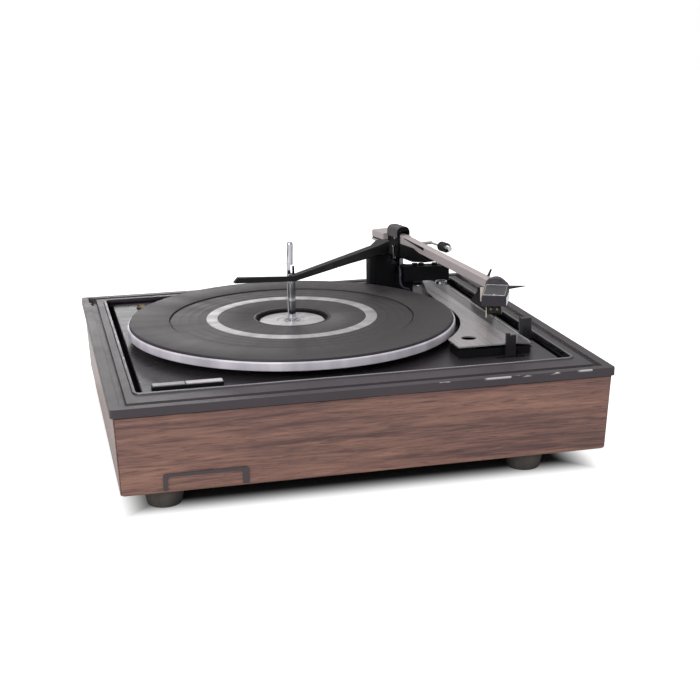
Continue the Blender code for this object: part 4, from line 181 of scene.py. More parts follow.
class ChangerColours(bpy.types.PropertyGroup):
    """Base colours of the finishes"""

    walnut_dark: colour("Walnut, dark streaks", "Dark streaks of the walnut veneer",
                        (0.125, 0.070, 0.068))
    walnut_light: colour("Walnut, light streaks", "Light streaks of the walnut veneer",
                         (0.385, 0.205, 0.155))
    frame: colour("Top frame", "Satin paint of the moulded top frame", (0.066, 0.054, 0.062))
    plate: colour("Unit plate", "Paint of the pressed unit plate", (0.036, 0.030, 0.037))
    mat: colour("Platter mat", "Rubber of the platter mat", (0.036, 0.029, 0.033))
    black: colour("Black mouldings", "Black plastic of the overarm, arm base and housing",
                  (0.0065, 0.0058, 0.0075))
    arm: colour("Tonearm", "Light grey paint of the tonearm", (0.59, 0.52, 0.52))
    cap: colour("Arm cap", "Darker grey of the yoke's cap", (0.090, 0.080, 0.087))
    shell: colour("Headshell", "Dark grey of the headshell", (0.058, 0.052, 0.057))
    ivory: colour("Ivory plastic", "Arm rest liner, cartridge clip and headshell pip",
                  (0.95, 0.86, 0.74))
    rubber: colour("Feet", "Rubber of the feet and the grommet", (0.085, 0.078, 0.072))


class ChangerSizes(bpy.types.PropertyGroup):
    """Sizes of the fine pieces"""

    turn_steps: IntProperty(
        name="Turning steps", description="Facets round the large turned pieces",
        default=256, min=32, max=512)
    mat_rib_pitch: length("Mat rib pitch", "Distance between the fine ribs of the mat",
                          0.0022, 0.0005, 0.01)
    mat_rib_height: length("Mat rib height", "Height of the fine ribs of the mat",
                           0.00012, 0, 0.001)
    spring_wire: length("Spring wire", "Radius of the suspension springs' wire",
                        0.0007, 0.0002, 0.002)
    spring_turns: FloatProperty(
        name="Spring turns", description="Turns of each suspension spring",
        default=3.0, min=1, max=12)
    knob_ribs: IntProperty(
        name="Knob ribs", description="Grip ribs round the force knob",
        default=20, min=6, max=60)
    lead_radius: length("Arm lead", "Radius of the lead from the arm into the base",
                        0.0011, 0.0003, 0.004)
    edge_round: length("Edge rounding", "Rounding on the moulded pieces' edges",
                       0.00025, 0, 0.002)


class ChangerStudio(bpy.types.PropertyGroup):
    """Camera and lights"""

    camera_place: FloatVectorProperty(
        name="Camera place", description="Where the camera stands",
        subtype="XYZ", size=3, unit="LENGTH", default=(-0.2395, -1.0655, 0.3687))
    camera_yaw: bearing("Camera heading",
                        "Turn of the camera to the right of the plinth's depth", 0.2449)
    camera_pitch: bearing("Camera pitch", "How far the camera looks down", 0.2717)
    camera_roll: bearing("Camera roll", "Turn of the picture about its middle", 0.0117)
    camera_lens: FloatProperty(
        name="Lens", description="Focal length on a 36 mm wide picture",
        default=67.38, min=10, max=300, unit="CAMERA")
    key_watts: power("Key light", "Power of the soft light from the front left", 30.0, 500)
    top_watts: power("Top light", "Power of the soft light above", 14.0, 500)
    card_watts: power("Back card", "Power of the low card behind, seen in the gloss", 2.2, 100)
    world_level: FloatProperty(
        name="Surroundings", description="Level of the light from all round",
        default=0.42, min=0, max=2)
    floor_half: length("Floor", "Half the side of the floor", 4.0, 1, 20)


def colours():
    return bpy.context.scene.changer_colours


def sizes():
    return bpy.context.scene.changer_sizes


def studio():
    return bpy.context.scene.changer_studio


# Finishes

def shade(tone, factor):
    return tuple(min(1.0, channel * factor) for channel in tone)


class Shading:
    """A shader tree being filled: short calls add its nodes and join them."""

    def __init__(self, owner):
        owner.use_nodes = True
        self.tree = owner.node_tree

    def node(self, kind, inputs, **settings):
        """Add a node with its settings, and feed its inputs by label or number."""
        node = self.tree.nodes.new(kind)
        for key, value in settings.items():
            setattr(node, key, value)
        return self.feed(node, inputs)

    def feed(self, node, inputs):
        """Give inputs a constant, or join them to another node's output."""
        for label, value in inputs.items():
            if isinstance(value, bpy.types.NodeSocket):
                self.tree.links.new(value, node.inputs[label])
            else:
                node.inputs[label].default_value = value
        return node

    def sum_up(self, operation, first, second=0.0):
        return self.node("ShaderNodeMath", {0: first, 1: second}, operation=operation).outputs[0]

    def product(self, first, *others):
        for other in others:
            first = self.sum_up("MULTIPLY", first, other)
        return first

    def levels(self, value, low, high, to_low=0.0, to_high=1.0, ramp="LINEAR"):
        """Spread what lies between two levels over two others, and hold the rest."""
        return self.node("ShaderNodeMapRange", {
            "Value": value, "From Min": low, "From Max": high, "To Min": to_low,
            "To Max": to_high}, interpolation_type=ramp).outputs[0]

    def split(self, vector):
        return self.node("ShaderNodeSeparateXYZ", {0: vector}).outputs

    def spot(self, scale=(1, 1, 1), centre=(0, 0, 0)):
        """Object coordinates about a centre, stretched by a scale per axis."""
        coordinates = self.node("ShaderNodeTexCoord", {}).outputs["Object"]
        shift = self.node("ShaderNodeVectorMath", {0: coordinates, 1: tuple(centre)},
                          operation="SUBTRACT")
        return self.node("ShaderNodeVectorMath", {0: shift.outputs[0], 1: scale},
                         operation="MULTIPLY").outputs[0]

    def end(self, output, others, camera):
        """Show one shader to the camera and another to the other rays."""
        path = self.node("ShaderNodeLightPath", {})
        pick = self.node("ShaderNodeMixShader", {
            0: path.outputs["Is Camera Ray"], 1: others.outputs[0], 2: camera.outputs[0]})
        self.feed(self.tree.nodes[output], {"Surface": pick.outputs[0]})


class Finish(Shading):
    """A material with a principled shader."""

    def __init__(self, name, roughness, metallic=0.0, specular=0.5):
        self.roughness = roughness
        self.material = bpy.data.materials.new(name)
        super().__init__(self.material)
        self.shader = self.feed(self.tree.nodes["Principled BSDF"], {
            "Roughness": roughness, "Metallic": metallic, "Specular IOR Level": specular})

    def noise(self, place, scale, detail=4.0, roughness=0.55, distortion=0.0):
        """Noise at a spot, or at object coordinates stretched by three numbers."""
        vector = self.spot(place) if isinstance(place, tuple) else place
        return self.node("ShaderNodeTexNoise", {
            "Vector": vector, "Scale": scale, "Detail": detail, "Roughness": roughness,
            "Distortion": distortion}).outputs["Fac"]

    def rings(self, vector, scale, distortion=0.0):
        return self.node("ShaderNodeTexWave", {
            "Vector": vector, "Scale": scale, "Distortion": distortion},
            wave_type="RINGS", rings_direction="Z").outputs["Fac"]

    def rays(self, vector, scale):
        """Noise that only changes with the bearing about the vector's middle."""
        sides = self.split(vector)
        return self.node("ShaderNodeTexNoise", {
            "W": self.sum_up("ARCTAN2", sides["Y"], sides["X"]), "Scale": scale},
            noise_dimensions="1D").outputs["Fac"]

    def mean(self, first, weight, second):
        """The mean of two values, where the second has the rest of the weight."""
        return self.sum_up("ADD", self.product(first, weight), self.product(second, 1 - weight))

    def blend(self, share, first, second):
        tones = [tone if isinstance(tone, bpy.types.NodeSocket) else (*tone, 1)
                 for tone in (first, second)]
        return self.node("ShaderNodeMix", {"Factor": share, 6: tones[0], 7: tones[1]},
                         data_type="RGBA", blend_type="MIX").outputs[2]

    def paint(self, tone):
        self.feed(self.shader, {"Base Color": tone})

    def tint(self, value, low, high, first, second):
        """Paint from one colour to the other as a value rises between two levels."""
        self.paint(self.blend(self.levels(value, low, high), first, second))

    def matt(self, value, low, high, least, most):
        """Scale the roughness by two factors as a value rises between two levels."""
        self.feed(self.shader, {"Roughness": self.levels(
            value, low, high, self.roughness * least, self.roughness * most)})

    def relief(self, height, distance, strength):
        bump = self.node("ShaderNodeBump", {
            "Height": height, "Distance": distance, "Strength": strength})
        self.feed(self.shader, {"Normal": bump.outputs[0]})


def walnut(name, along, roughness):
    """Veneer with its grain along one axis: broad figure, short streaks and dark flecks."""
    finish = Finish(name, roughness, specular=0.4)
    layers = []
    for across, lengthwise, *texture in (
            (60.0, 3.0, 4.0, 0.6, 1.8), (420.0, 24.0, 5.0, 0.66, 0.8),
            (900.0, 60.0, 3.0, 0.6, 0.4), (2600.0, 160.0, 2.0, 0.7)):
        stretch = tuple(lengthwise if axis == along else across for axis in range(3))
        layers.append(finish.noise(stretch, 1.0, *texture))
    figure, streaks, flecks, pores = layers
    dark = colours().walnut_dark
    grain = finish.levels(finish.mean(figure, 0.48, streaks), 0.38, 0.62)
    finish.paint(finish.blend(finish.levels(flecks, 0.54, 0.68, 0.0, 0.60),
                              finish.blend(grain, dark, colours().walnut_light),
                              shade(dark, 0.75)))
    finish.matt(pores, 0.3, 0.75, 0.9, 1.3)
    finish.relief(finish.sum_up("ADD", pores, flecks), 0.00008, 0.35)
    return finish.material


def worn_paint_with_highlights(name, tone, roughness, edge_y, edge_z):
    """Satin paint with pale worn chips along the front top edge, and pale streaks of worn paint
    with a painted highlight there.
    """
    finish = Finish(name, roughness, specular=0.36)
    spot = finish.spot()
    sides = finish.split(spot)
    base = finish.blend(finish.levels(finish.noise(spot, 14.0, 3.0), 0.3, 0.7),
                        shade(tone, 0.9), shade(tone, 1.1))
    edge = finish.product(
        finish.levels(sides["Y"], edge_y + 0.0004, edge_y + 0.0014, 1.0, 0.0),
        finish.levels(sides["Z"], edge_z - 0.0016, edge_z - 0.0006))
    chips = finish.levels(finish.noise((0.22, 1, 1), 170.0, 3.0, 0.6), 0.56, 0.59)
    handled = finish.levels(sides["X"], 0.020, 0.060)
    wear_and_highlight = finish.product(edge, chips, handled)
    # pale streaks along the edge: worn paint with a painted highlight
    for start, end in WORN_HIGHLIGHT_STREAKS:
        highlight_streak = finish.product(finish.levels(sides["X"], start, start + 0.0030),
                                finish.levels(sides["X"], end, end + 0.0006, 1.0, 0.0), edge)
        wear_and_highlight = finish.sum_up("MAXIMUM", wear_and_highlight, highlight_streak)
    finish.paint(finish.blend(wear_and_highlight, base, WEAR_AND_HIGHLIGHT_COLOUR))
    finish.matt(finish.noise(spot, 45.0, 5.0, 0.65), 0.3, 0.7, 0.85, 1.15)
    finish.relief(finish.noise(spot, 700.0, 2.0), 0.00005, 0.5)
    return finish.material


def satin_paint(name, tone, roughness, specular=0.5, grain=900.0, depth=0.00004,
                variation=0.12):
    """Satin paint or moulded plastic: faint cloudiness, a fine grain and uneven gloss."""
    finish = Finish(name, roughness, specular=specular)
    finish.tint(finish.noise((1, 1, 1), 14.0, 3.0), 0.3, 0.7, shade(tone, 1 - variation),
                shade(tone, 1 + variation))
    finish.matt(finish.noise((1, 2.5, 1), 45.0, 5.0, 0.65), 0.3, 0.7, 0.85, 1.15)
    finish.relief(finish.noise((1, 1, 1), grain, 2.0), depth, 0.5)
    return finish.material


def turned_metal(name, tone, roughness, metallic, depth=0.00001):
    """Metal turned about the platter's axis, with fine rings in its polish and painted highlights
    in rays round it.
    """
    finish = Finish(name, roughness, metallic)
    spot = finish.spot((1, 1, 0), PLATTER_CENTRE)
    fine = finish.rings(spot, 900.0, 0.4)
    # lighter and darker rays by bearing: painted highlights of the polish
    finish.tint(finish.rays(spot, 5.0), 0.35, 0.65, shade(tone, 0.80), shade(tone, 1.12))
    finish.matt(fine, 0.0, 1.0, 0.8, 1.2)
    finish.relief(fine, depth, 0.4)
    return finish.material


def brushed_metal(name, tone, roughness, metallic, stretch, darkest, weight=0.7, crease=None):
    """Metal brushed along one line; what lies right of a crease gets painted shade."""
    finish = Finish(name, roughness, metallic)
    lines = finish.noise(stretch, 1.0, 4.0, 0.7)
    cloud = finish.noise((1, 1, 1), 12.0, 3.0)
    base = finish.blend(finish.levels(finish.mean(lines, weight, cloud), 0.32, 0.68),
                        shade(tone, darkest), shade(tone, 1.1))
    if crease is not None:
        across = finish.split(finish.spot())["X"]
        # painted shade on the strip that falls away right of the crease
        painted_shade_strip = finish.levels(across, crease - 0.0002, crease + 0.0002, 0.0, 0.62)
        base = finish.blend(painted_shade_strip, base, shade(tone, 0.12))
    finish.paint(base)
    finish.matt(lines, 0.3, 0.7, 0.8, 1.2)
    finish.relief(lines, 0.00002, 0.5)
    return finish.material


def bright_metal(name, tone, roughness):
    """Polished plating with faint wiping marks."""
    finish = Finish(name, roughness, metallic=1.0)
    wiping = finish.noise((1, 1, 3), 60.0, 4.0)
    finish.tint(wiping, 0.3, 0.7, shade(tone, 0.9), tone)
    finish.matt(wiping, 0.35, 0.7, 0.7, 1.4)
    return finish.material


def ribbed_rubber(name, tone):
    """Rubber mat: fine concentric ribs, dust, and soft radial streaks and patches of painted
    sheen.
    """
    finish = Finish(name, 0.5)
    spot = finish.spot((1, 1, 0), PLATTER_CENTRE)
    ribs = finish.rings(spot, WAVE_PITCH / sizes().mat_rib_pitch)
    dust = finish.noise((1, 1, 1), 26.0, 6.0, 0.7)
    dust_and_sheen = finish.mean(finish.rays(spot, 6.0), 0.5, dust)
    # dust mixed with radial streaks of painted sheen
    finish.tint(dust_and_sheen, 0.25, 0.8, shade(tone, 0.72), shade(tone, 1.35))
    finish.matt(dust_and_sheen, 0.3, 0.7, 0.76, 1.08)
    finish.relief(ribs, sizes().mat_rib_height, 0.3)
    return finish.material


def raw_board(name, dark, light):
    """Pressed board with chips and fibres."""
    finish = Finish(name, 0.85, specular=0.2)
    chips = finish.noise((1, 2, 1), 160.0, 5.0, 0.7)
    finish.tint(chips, 0.3, 0.7, dark, light)
    finish.relief(chips, 0.0002, 0.6)
    return finish.material


def rough_rubber(name, tone):
    """Dusty moulded rubber with a coarse grain."""
    finish = Finish(name, 0.78, specular=0.35)
    finish.tint(finish.noise((1, 1, 1), 70.0), 0.35, 0.75, tone, shade(tone, 1.7))
    finish.relief(finish.noise((1, 1, 1), 420.0), 0.0001, 0.6)
    return finish.material


def layered(name, shine, spot, rings, dark, light, relief):
    """Layers seen edge on: the turns of a winding or a stack of sheets."""
    finish = Finish(name, *shine)
    layers = finish.rings(finish.spot(*spot), *rings)
    finish.paint(finish.blend(layers, dark, light))
    finish.relief(layers, *relief)
    return finish.material


def finish_table():
    """Each finish by its name, as its maker and what the maker is given."""
    tone = colours()
    frame_low, frame_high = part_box("top_frame")
    return {
        "walnut_x": (walnut, 0, 0.42),
        "walnut_y": (walnut, 1, 0.20),
        "frame_paint": (worn_paint_with_highlights, tone.frame, 0.36, frame_low.y, frame_high.z),
        "plate_paint": (satin_paint, tone.plate, 0.30, 0.5, 1200.0, 0.00001),
        "black_moulding": (satin_paint, tone.black, 0.40, 0.35),
        "overarm_black": (satin_paint, tone.black, 0.50, 0.35, 1500.0),
        "matt_black": (satin_paint, tone.black, 0.60, 0.15),
        "arm_paint": (satin_paint, tone.arm, 0.36, 0.5, 1500.0, 0.00001, 0.05),
        "cap_paint": (satin_paint, tone.cap, 0.40, 0.5, 1500.0, 0.00001, 0.08),
        "shell_paint": (satin_paint, tone.shell, 0.45, 0.5, 1500.0, 0.00001),
        # darker grey: painted shade on the headshell's front and underside, also the lift blade's
        # and finger lift's colour
        "shell_face": (satin_paint, (0.044, 0.040, 0.052), 0.45, 0.3),
        "knob_black": (satin_paint, (0.020, 0.018, 0.021), 0.28),
        "inlay_paint": (satin_paint, (0.078, 0.064, 0.076), 0.45),
        "lead_blue": (satin_paint, (0.045, 0.045, 0.075), 0.40),
        "post_grey": (satin_paint, (0.50, 0.45, 0.45), 0.45),
        "ivory": (satin_paint, tone.ivory, 0.45, 0.5, 600.0, 0.00002, 0.06),
        "foot_rubber": (rough_rubber, tone.rubber),
        "idler_rubber": (rough_rubber, (0.03, 0.028, 0.03)),
        "mat_rubber": (ribbed_rubber, tone.mat),
        "platter_metal": (turned_metal, (0.86, 0.81, 0.91), 0.34, 0.15, 0),
        "ring_metal": (turned_metal, (0.62, 0.60, 0.61), 0.40, 0.55),
        "disc_metal": (turned_metal, (0.74, 0.71, 0.72), 0.36, 0.40),
        "badge_dark": (brushed_metal, (0.58, 0.55, 0.58), 0.40, 0.2, (1400, 700, 900), 0.35),
        "badge_light": (brushed_metal, (0.86, 0.82, 0.87), 0.36, 0.2, (500, 900, 900), 0.65),
        # the strip right of the plate's crease takes painted shade
        "control_metal": (brushed_metal, (0.60, 0.56, 0.57), 0.29, 0.5, (160, 5, 160), 0.80,
                          0.6, PLATE_CREASE),
        "chrome": (bright_metal, (0.74, 0.75, 0.80), 0.09),
        "bead_metal": (bright_metal, (0.26, 0.25, 0.27), 0.34),
        "small_steel": (bright_metal, (0.45, 0.45, 0.46), 0.35),
        "bronze": (bright_metal, (0.24, 0.17, 0.09), 0.38),
        "raw_board": (raw_board, (0.050, 0.030, 0.019), (0.110, 0.070, 0.045)),
        # near-black board: painted shade seen through the gap round the unit plate
        "painted_shade_board": (raw_board, (0.006, 0.005, 0.005), (0.014, 0.012, 0.012)),
        "winding": (layered, (0.4, 0.0, 0.6), ((0, 1, 1), middle("motor_coil")), (500.0, 1.0),
                    (0.20, 0.075, 0.03), (0.42, 0.19, 0.08), (0.0002, 0.6)),
        "laminations": (layered, (0.45, 0.9), ((0, 0, 1),), (900.0,), (0.20, 0.19, 0.18),
                        (0.42, 0.41, 0.40), (0.0001, 0.5)),
    }


MADE = {}


def finish_named(name):
    """The shared finish of that name, made on first use."""
    if name not in MADE:
        maker, *given = finish_table()[name]
        MADE[name] = maker(name, *given)
    return MADE[name]


# Making and finishing pieces

def linked(name, data):
    """A new object in the scene."""
    obj = bpy.data.objects.new(name, data)
    bpy.context.scene.collection.objects.link(obj)
    return obj


def round_edges(obj, width):
    bevel = obj.modifiers.new("round edges", "BEVEL")
    bevel.width = width
    bevel.segments = EDGE_FACETS
    bevel.limit_method = "ANGLE"
    bevel.angle_limit = EDGE_ANGLE
    bevel.harden_normals = True


def settle(name, mesh, body, stands_for=(), angle=40.0, edge=0.0):
    """Make a mesh a finished piece and hand it over to the frame."""
    mesh.shade_smooth()
    mesh.set_sharp_from_angle(angle=math.radians(angle))
    obj = linked(name, mesh)
    if edge:
        round_edges(obj, edge)
    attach(obj, body)
    if stands_for:
        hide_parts(*stands_for)
    return obj


def plain_mesh(name, bm, outwards=True):
    """The mesh of a bmesh, with its faces turned outwards where asked."""
    if outwards:
        bmesh.ops.recalc_face_normals(bm, faces=bm.faces)
    mesh = bpy.data.meshes.new(name)
    bm.to_mesh(mesh)
    bm.free()
    return mesh


def piece(name, bm, finish, body, stands_for=(), angle=32.0, edge=0.0, outwards=True):
    """Turn a bmesh into a piece of the object, with softened edges where asked."""
    bmesh.ops.remove_doubles(bm, verts=bm.verts, dist=PIECE_MERGE)
    mesh = plain_mesh(name, bm, outwards)
    mesh.materials.append(finish_named(finish))
    return settle(name, mesh, body, stands_for, angle, edge)


def cleaned(node):
    """The faces of a CAD node, with flat faces whole again."""
    bm = bmesh.new()
    bm.from_mesh(NODES[node].data)
    bmesh.ops.remove_doubles(bm, verts=bm.verts, dist=CAD_MERGE)
    bmesh.ops.dissolve_limit(bm, angle_limit=FLAT, verts=bm.verts, edges=bm.edges)
    return bm


def softened_copy(node, finish, edge=None, angle=32.0):
    """A copy of a CAD node with clean faces and rounded edges, which stands for it."""
    edge = sizes().edge_round if edge is None else edge
    piece(node + "_finished", cleaned(node), finish, NODES[node]["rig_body"], (node,),
          angle, edge, outwards=False)


def dress(finish, *nodes):
    """Give carried-over CAD nodes their finish."""
    for node in nodes:
        materials = NODES[node].data.materials
        materials.clear()
        materials.append(finish_named(finish))


def nodes_called(start):
    return [node for node in NODES if node.startswith(start)]


def moved(bm, matrix):
    """The same bmesh, transformed where a matrix is given."""
    if matrix is not None:
        bmesh.ops.transform(bm, matrix=matrix, verts=bm.verts)
    return bm


def bridge(bm, loops, sides=None):
    """Faces between each loop of points and the next, all round or on some sides only."""
    count = len(loops[0])
    for loop, following in zip(loops, loops[1:]):
        for side in range(count) if sides is None else sides:
            other = (side + 1) % count
            bm.faces.new((loop[side], loop[other], following[other], following[side]))


def turned(profile, centre, steps, matrix=None):
    """A bmesh turned about an upright axis from a closed profile of (radius, height)."""
    bm = bmesh.new()
    rings = []
    for step in range(steps):
        angle = math.tau * step / steps
        rings.append([bm.verts.new((*on_circle(centre, radius, angle), z))
                      for radius, z in profile])
    off_axis = [side for side in range(len(profile))
                if profile[side][0] != 0 or profile[(side + 1) % len(profile)][0] != 0]
    bridge(bm, rings + rings[:1], off_axis)
    bmesh.ops.remove_doubles(bm, verts=bm.verts, dist=TURNED_MERGE)
    bmesh.ops.dissolve_degenerate(bm, edges=bm.edges, dist=TURNED_MERGE)
    return moved(bm, matrix)


def block(low, high, matrix=None):
    """A box between two corners."""
    bm = bmesh.new()
    low = Vector(low)
    high = Vector(high)
    bmesh.ops.create_cube(bm, size=1.0)
    bmesh.ops.scale(bm, vec=high - low, verts=bm.verts)
    bmesh.ops.translate(bm, vec=(low + high) / 2, verts=bm.verts)
    return moved(bm, matrix)


def slab(name, low, high, finish, edge=0.0, stands_for=(), body="base", matrix=None):
    """A block between two corners, as a finished piece."""
    piece(name, block(low, high, matrix), finish, body, stands_for, edge=edge)


def prism(outline, low, high, matrix=None):
    """Extrude a closed outline of (x, y) points from one height to another."""
    bm = bmesh.new()
    below, above = ([bm.verts.new((x, y, z)) for x, y in outline] for z in (low, high))
    bm.faces.new(list(reversed(below)))
    bm.faces.new(above)
    bridge(bm, (below, above))
    return moved(bm, matrix)


def collar(outer, inner, low, high):
    """A flat ring between two outlines with as many points each."""
    bm = bmesh.new()
    loops = [[bm.verts.new((x, y, z)) for x, y in outline]
             for outline, z in ((outer, low), (outer, high), (inner, high), (inner, low))]
    bridge(bm, loops + loops[:1])
    return bm


def rod(start, end, radius, steps=24, end_radius=None, matrix=None):
    """A round bar between two points, tapered where it has another radius at its end."""
    start = Vector(start)
    end = Vector(end)
    bm = bmesh.new()
    bmesh.ops.create_cone(bm, cap_ends=True, segments=steps, radius1=radius,
                          radius2=radius if end_radius is None else end_radius,
                          depth=(end - start).length)
    place = (end - start).to_track_quat("Z", "Y").to_matrix().to_4x4()
    place.translation = (start + end) / 2
    return moved(moved(bm, place), matrix)


def on_circle(centre, radius, angle):
    return (centre[0] + radius * math.cos(angle), centre[1] + radius * math.sin(angle))


def arc(centre, radius, start, end, count):
    """Points of an arc between two bearings."""
    return [on_circle(centre, radius, start + (end - start) * step / count)
            for step in range(count + 1)]


def rounded_profile(points, radius, steps):
    """A closed outline with each corner rounded off by a radius."""
    made = []
    for index, corner in enumerate(points):
        corner = Vector(corner)
        before = Vector(points[index - 1]) - corner
        after = Vector(points[(index + 1) % len(points)]) - corner
        reach = min(radius, before.length / 2.2, after.length / 2.2)
        first = corner + before.normalized() * reach
        last = corner + after.normalized() * reach
        for step in range(steps + 1):
            share = step / steps
            bent = first.lerp(corner, share).lerp(corner.lerp(last, share), share)
            made.append((bent.x, bent.y))
    return made


# Geometry node trees

def tree_of(name, inputs, nodes, links):
    """A geometry node tree with named inputs, ended by Realize Instances and Set Material.

    A node is its kind and its constants by label. A link is an output's node and label, and
    an input's node and label; "in" holds the inputs and "real" takes the shape.
    """
    tree = bpy.data.node_groups.new(name, "GeometryNodeTree")
    for label, kind in (("Geometry", "Geometry"), *inputs.items(), ("Material", "Material")):
        tree.interface.new_socket(label, in_out="INPUT", socket_type="NodeSocket" + kind)
    tree.interface.new_socket("Geometry", in_out="OUTPUT", socket_type="NodeSocketGeometry")
    made = {}
    for key, (kind, constants) in {"in": ("NodeGroupInput", {}), "out": ("NodeGroupOutput", {}),
                                   **nodes, "real": ("GeometryNodeRealizeInstances", {}),
                                   "coat": ("GeometryNodeSetMaterial", {})}.items():
        made[key] = tree.nodes.new(kind)
        for label, value in constants.items():
            made[key].inputs[label].default_value = value
    for source, output, target, label in (*links, ("real", 0, "coat", "Geometry"),
                                          ("in", "Material", "coat", "Material"),
                                          ("coat", 0, "out", 0)):
        tree.links.new(made[source].outputs[output], made[target].inputs[label])
    return tree


def spring_tree():
    """Upright coil springs on the points of the start mesh."""
    return tree_of(
        "coil springs",
        {"Radius": "Float", "Wire": "Float", "Height": "Float", "Turns": "Float"},
        {"spiral": ("GeometryNodeCurveSpiral", {"Resolution": 24}),
         "wire": ("GeometryNodeCurvePrimitiveCircle", {"Resolution": 8}),
         "tube": ("GeometryNodeCurveToMesh", {"Fill Caps": True}),
         "spots": ("GeometryNodeInstanceOnPoints", {})},
        (("in", "Turns", "spiral", "Rotations"), ("in", "Radius", "spiral", "Start Radius"),
         ("in", "Radius", "spiral", "End Radius"), ("in", "Height", "spiral", "Height"),
         ("in", "Wire", "wire", "Radius"), ("in", "Geometry", "spots", "Points"),
         ("spiral", 0, "tube", "Curve"), ("wire", 0, "tube", "Profile Curve"),
         ("tube", 0, "spots", "Instance"), ("spots", 0, "real", 0)))


def tube_tree():
    """A round tube along the start curve."""
    return tree_of(
        "tube along a path", {"Radius": "Float"},
        {"ring": ("GeometryNodeCurvePrimitiveCircle", {"Resolution": 14}),
         "tube": ("GeometryNodeCurveToMesh", {"Fill Caps": True})},
        (("in", "Radius", "ring", "Radius"), ("in", "Geometry", "tube", "Curve"),
         ("ring", 0, "tube", "Profile Curve"), ("tube", 0, "real", 0)))


def rib_tree():
    """Upright bars spread evenly round an axis, joined to the start mesh."""
    return tree_of(
        "ribs round an axis",
        {"Count": "Int", "Radius": "Float", "Rib": "Float", "Length": "Float"},
        {"ring": ("GeometryNodeMeshCircle", {}),
         "bar": ("GeometryNodeMeshCylinder", {"Vertices": 8}),
         "spots": ("GeometryNodeInstanceOnPoints", {}),
         "both": ("GeometryNodeJoinGeometry", {})},
        (("in", "Count", "ring", "Vertices"), ("in", "Radius", "ring", "Radius"),
         ("in", "Rib", "bar", "Radius"), ("in", "Length", "bar", "Depth"),
         ("in", "Geometry", "both", 0), ("ring", 0, "spots", "Points"),
         ("bar", "Mesh", "spots", "Instance"), ("spots", 0, "both", 0), ("both", 0, "real", 0)))


def scatter_tree():
    """Copies of one shape on the points of the start mesh."""
    return tree_of(
        "shapes on points", {"Shape": "Object"},
        {"shape": ("GeometryNodeObjectInfo", {}), "spots": ("GeometryNodeInstanceOnPoints", {})},
        (("in", "Shape", "shape", "Object"), ("in", "Geometry", "spots", "Points"),
         ("shape", "Geometry", "spots", "Instance"), ("spots", 0, "real", 0)))


def grown_mesh(name, tree, start_mesh, values):
    """Run a tree on a mesh or curve and return the plain mesh that it makes."""
    obj = linked(name, start_mesh)
    modifier = obj.modifiers.new("grow", "NODES")
    modifier.node_group = tree
    for item in tree.interface.items_tree:
        if item.in_out == "INPUT" and item.name in values:
            modifier[item.identifier] = values[item.name]
    graph = bpy.context.evaluated_depsgraph_get()
    mesh = bpy.data.meshes.new_from_object(obj.evaluated_get(graph), depsgraph=graph)
    obj.modifiers.remove(modifier)
    bpy.data.objects.remove(obj, do_unlink=True)
    mesh.name = name
    return mesh


def points_mesh(name, points):
    mesh = bpy.data.meshes.new(name)
    mesh.from_pydata(points, [], [])
    return mesh


def path_curve(name, points):
    """A smooth curve through points."""
    curve = bpy.data.curves.new(name, "CURVE")
    curve.dimensions = "3D"
    curve.resolution_u = 10
    spline = curve.splines.new("BEZIER")
    spline.bezier_points.add(len(points) - 1)
    for knot, point in zip(spline.bezier_points, points):
        knot.co = point
        knot.handle_left_type = "AUTO"
        knot.handle_right_type = "AUTO"
    return curve


# Operators

class CHANGER_OT_plinth(bpy.types.Operator):
    """Finish the plinth: walnut boards, raw boards inside, inlay, feet and grommet"""

    bl_idname = "changer.plinth"
    bl_label = "Plinth"

    def execute(self, context):
        dress("walnut_x", "front_panel", "back_panel")
        dress("walnut_y", "left_panel", "right_panel")
        dress("raw_board", "bottom_board", *nodes_called("corner_block"))
        # the motor board is near black: painted shade seen through the gap round the unit plate
        dress("painted_shade_board", "motor_board")
        softened_copy("front_inlay", "inlay_paint", 0.0)
        dress("foot_rubber", "rear_grommet")
        for node in nodes_called("foot_"):
            self.foot(node)
        return {"FINISHED"}

    def foot(self, node):
        """A squat foot that widens upwards, with a narrower neck just under the panel."""
        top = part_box(node)[1].z
        radius = half_width(node)
        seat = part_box("front_panel")[0].z
        body = [(0, 0), (radius * 0.80, 0), (radius * 0.86, 0.0008), (radius * 0.96, seat * 0.5),
                (radius, seat * 0.86), (radius * 0.97, seat - 0.0004),
                (radius * 0.8, seat - 0.0003), (radius * 0.8, top), (0, top)]
        profile = [(0, 0)] + rounded_profile(body, 0.0008, 2)[3:-3] + [(0, top)]
        piece(node + "_turned", turned(profile, middle(node), 72), "foot_rubber", "base",
              (node,))


class CHANGER_OT_top_frame(bpy.types.Operator):
    """Finish the moulded top frame and its bright inner bead"""

    bl_idname = "changer.top_frame"
    bl_label = "Top frame"

    def execute(self, context):
        softened_copy("top_frame", "frame_paint", 0.0)
        softened_copy("opening_bead", "bead_metal", 0.0)
        return {"FINISHED"}


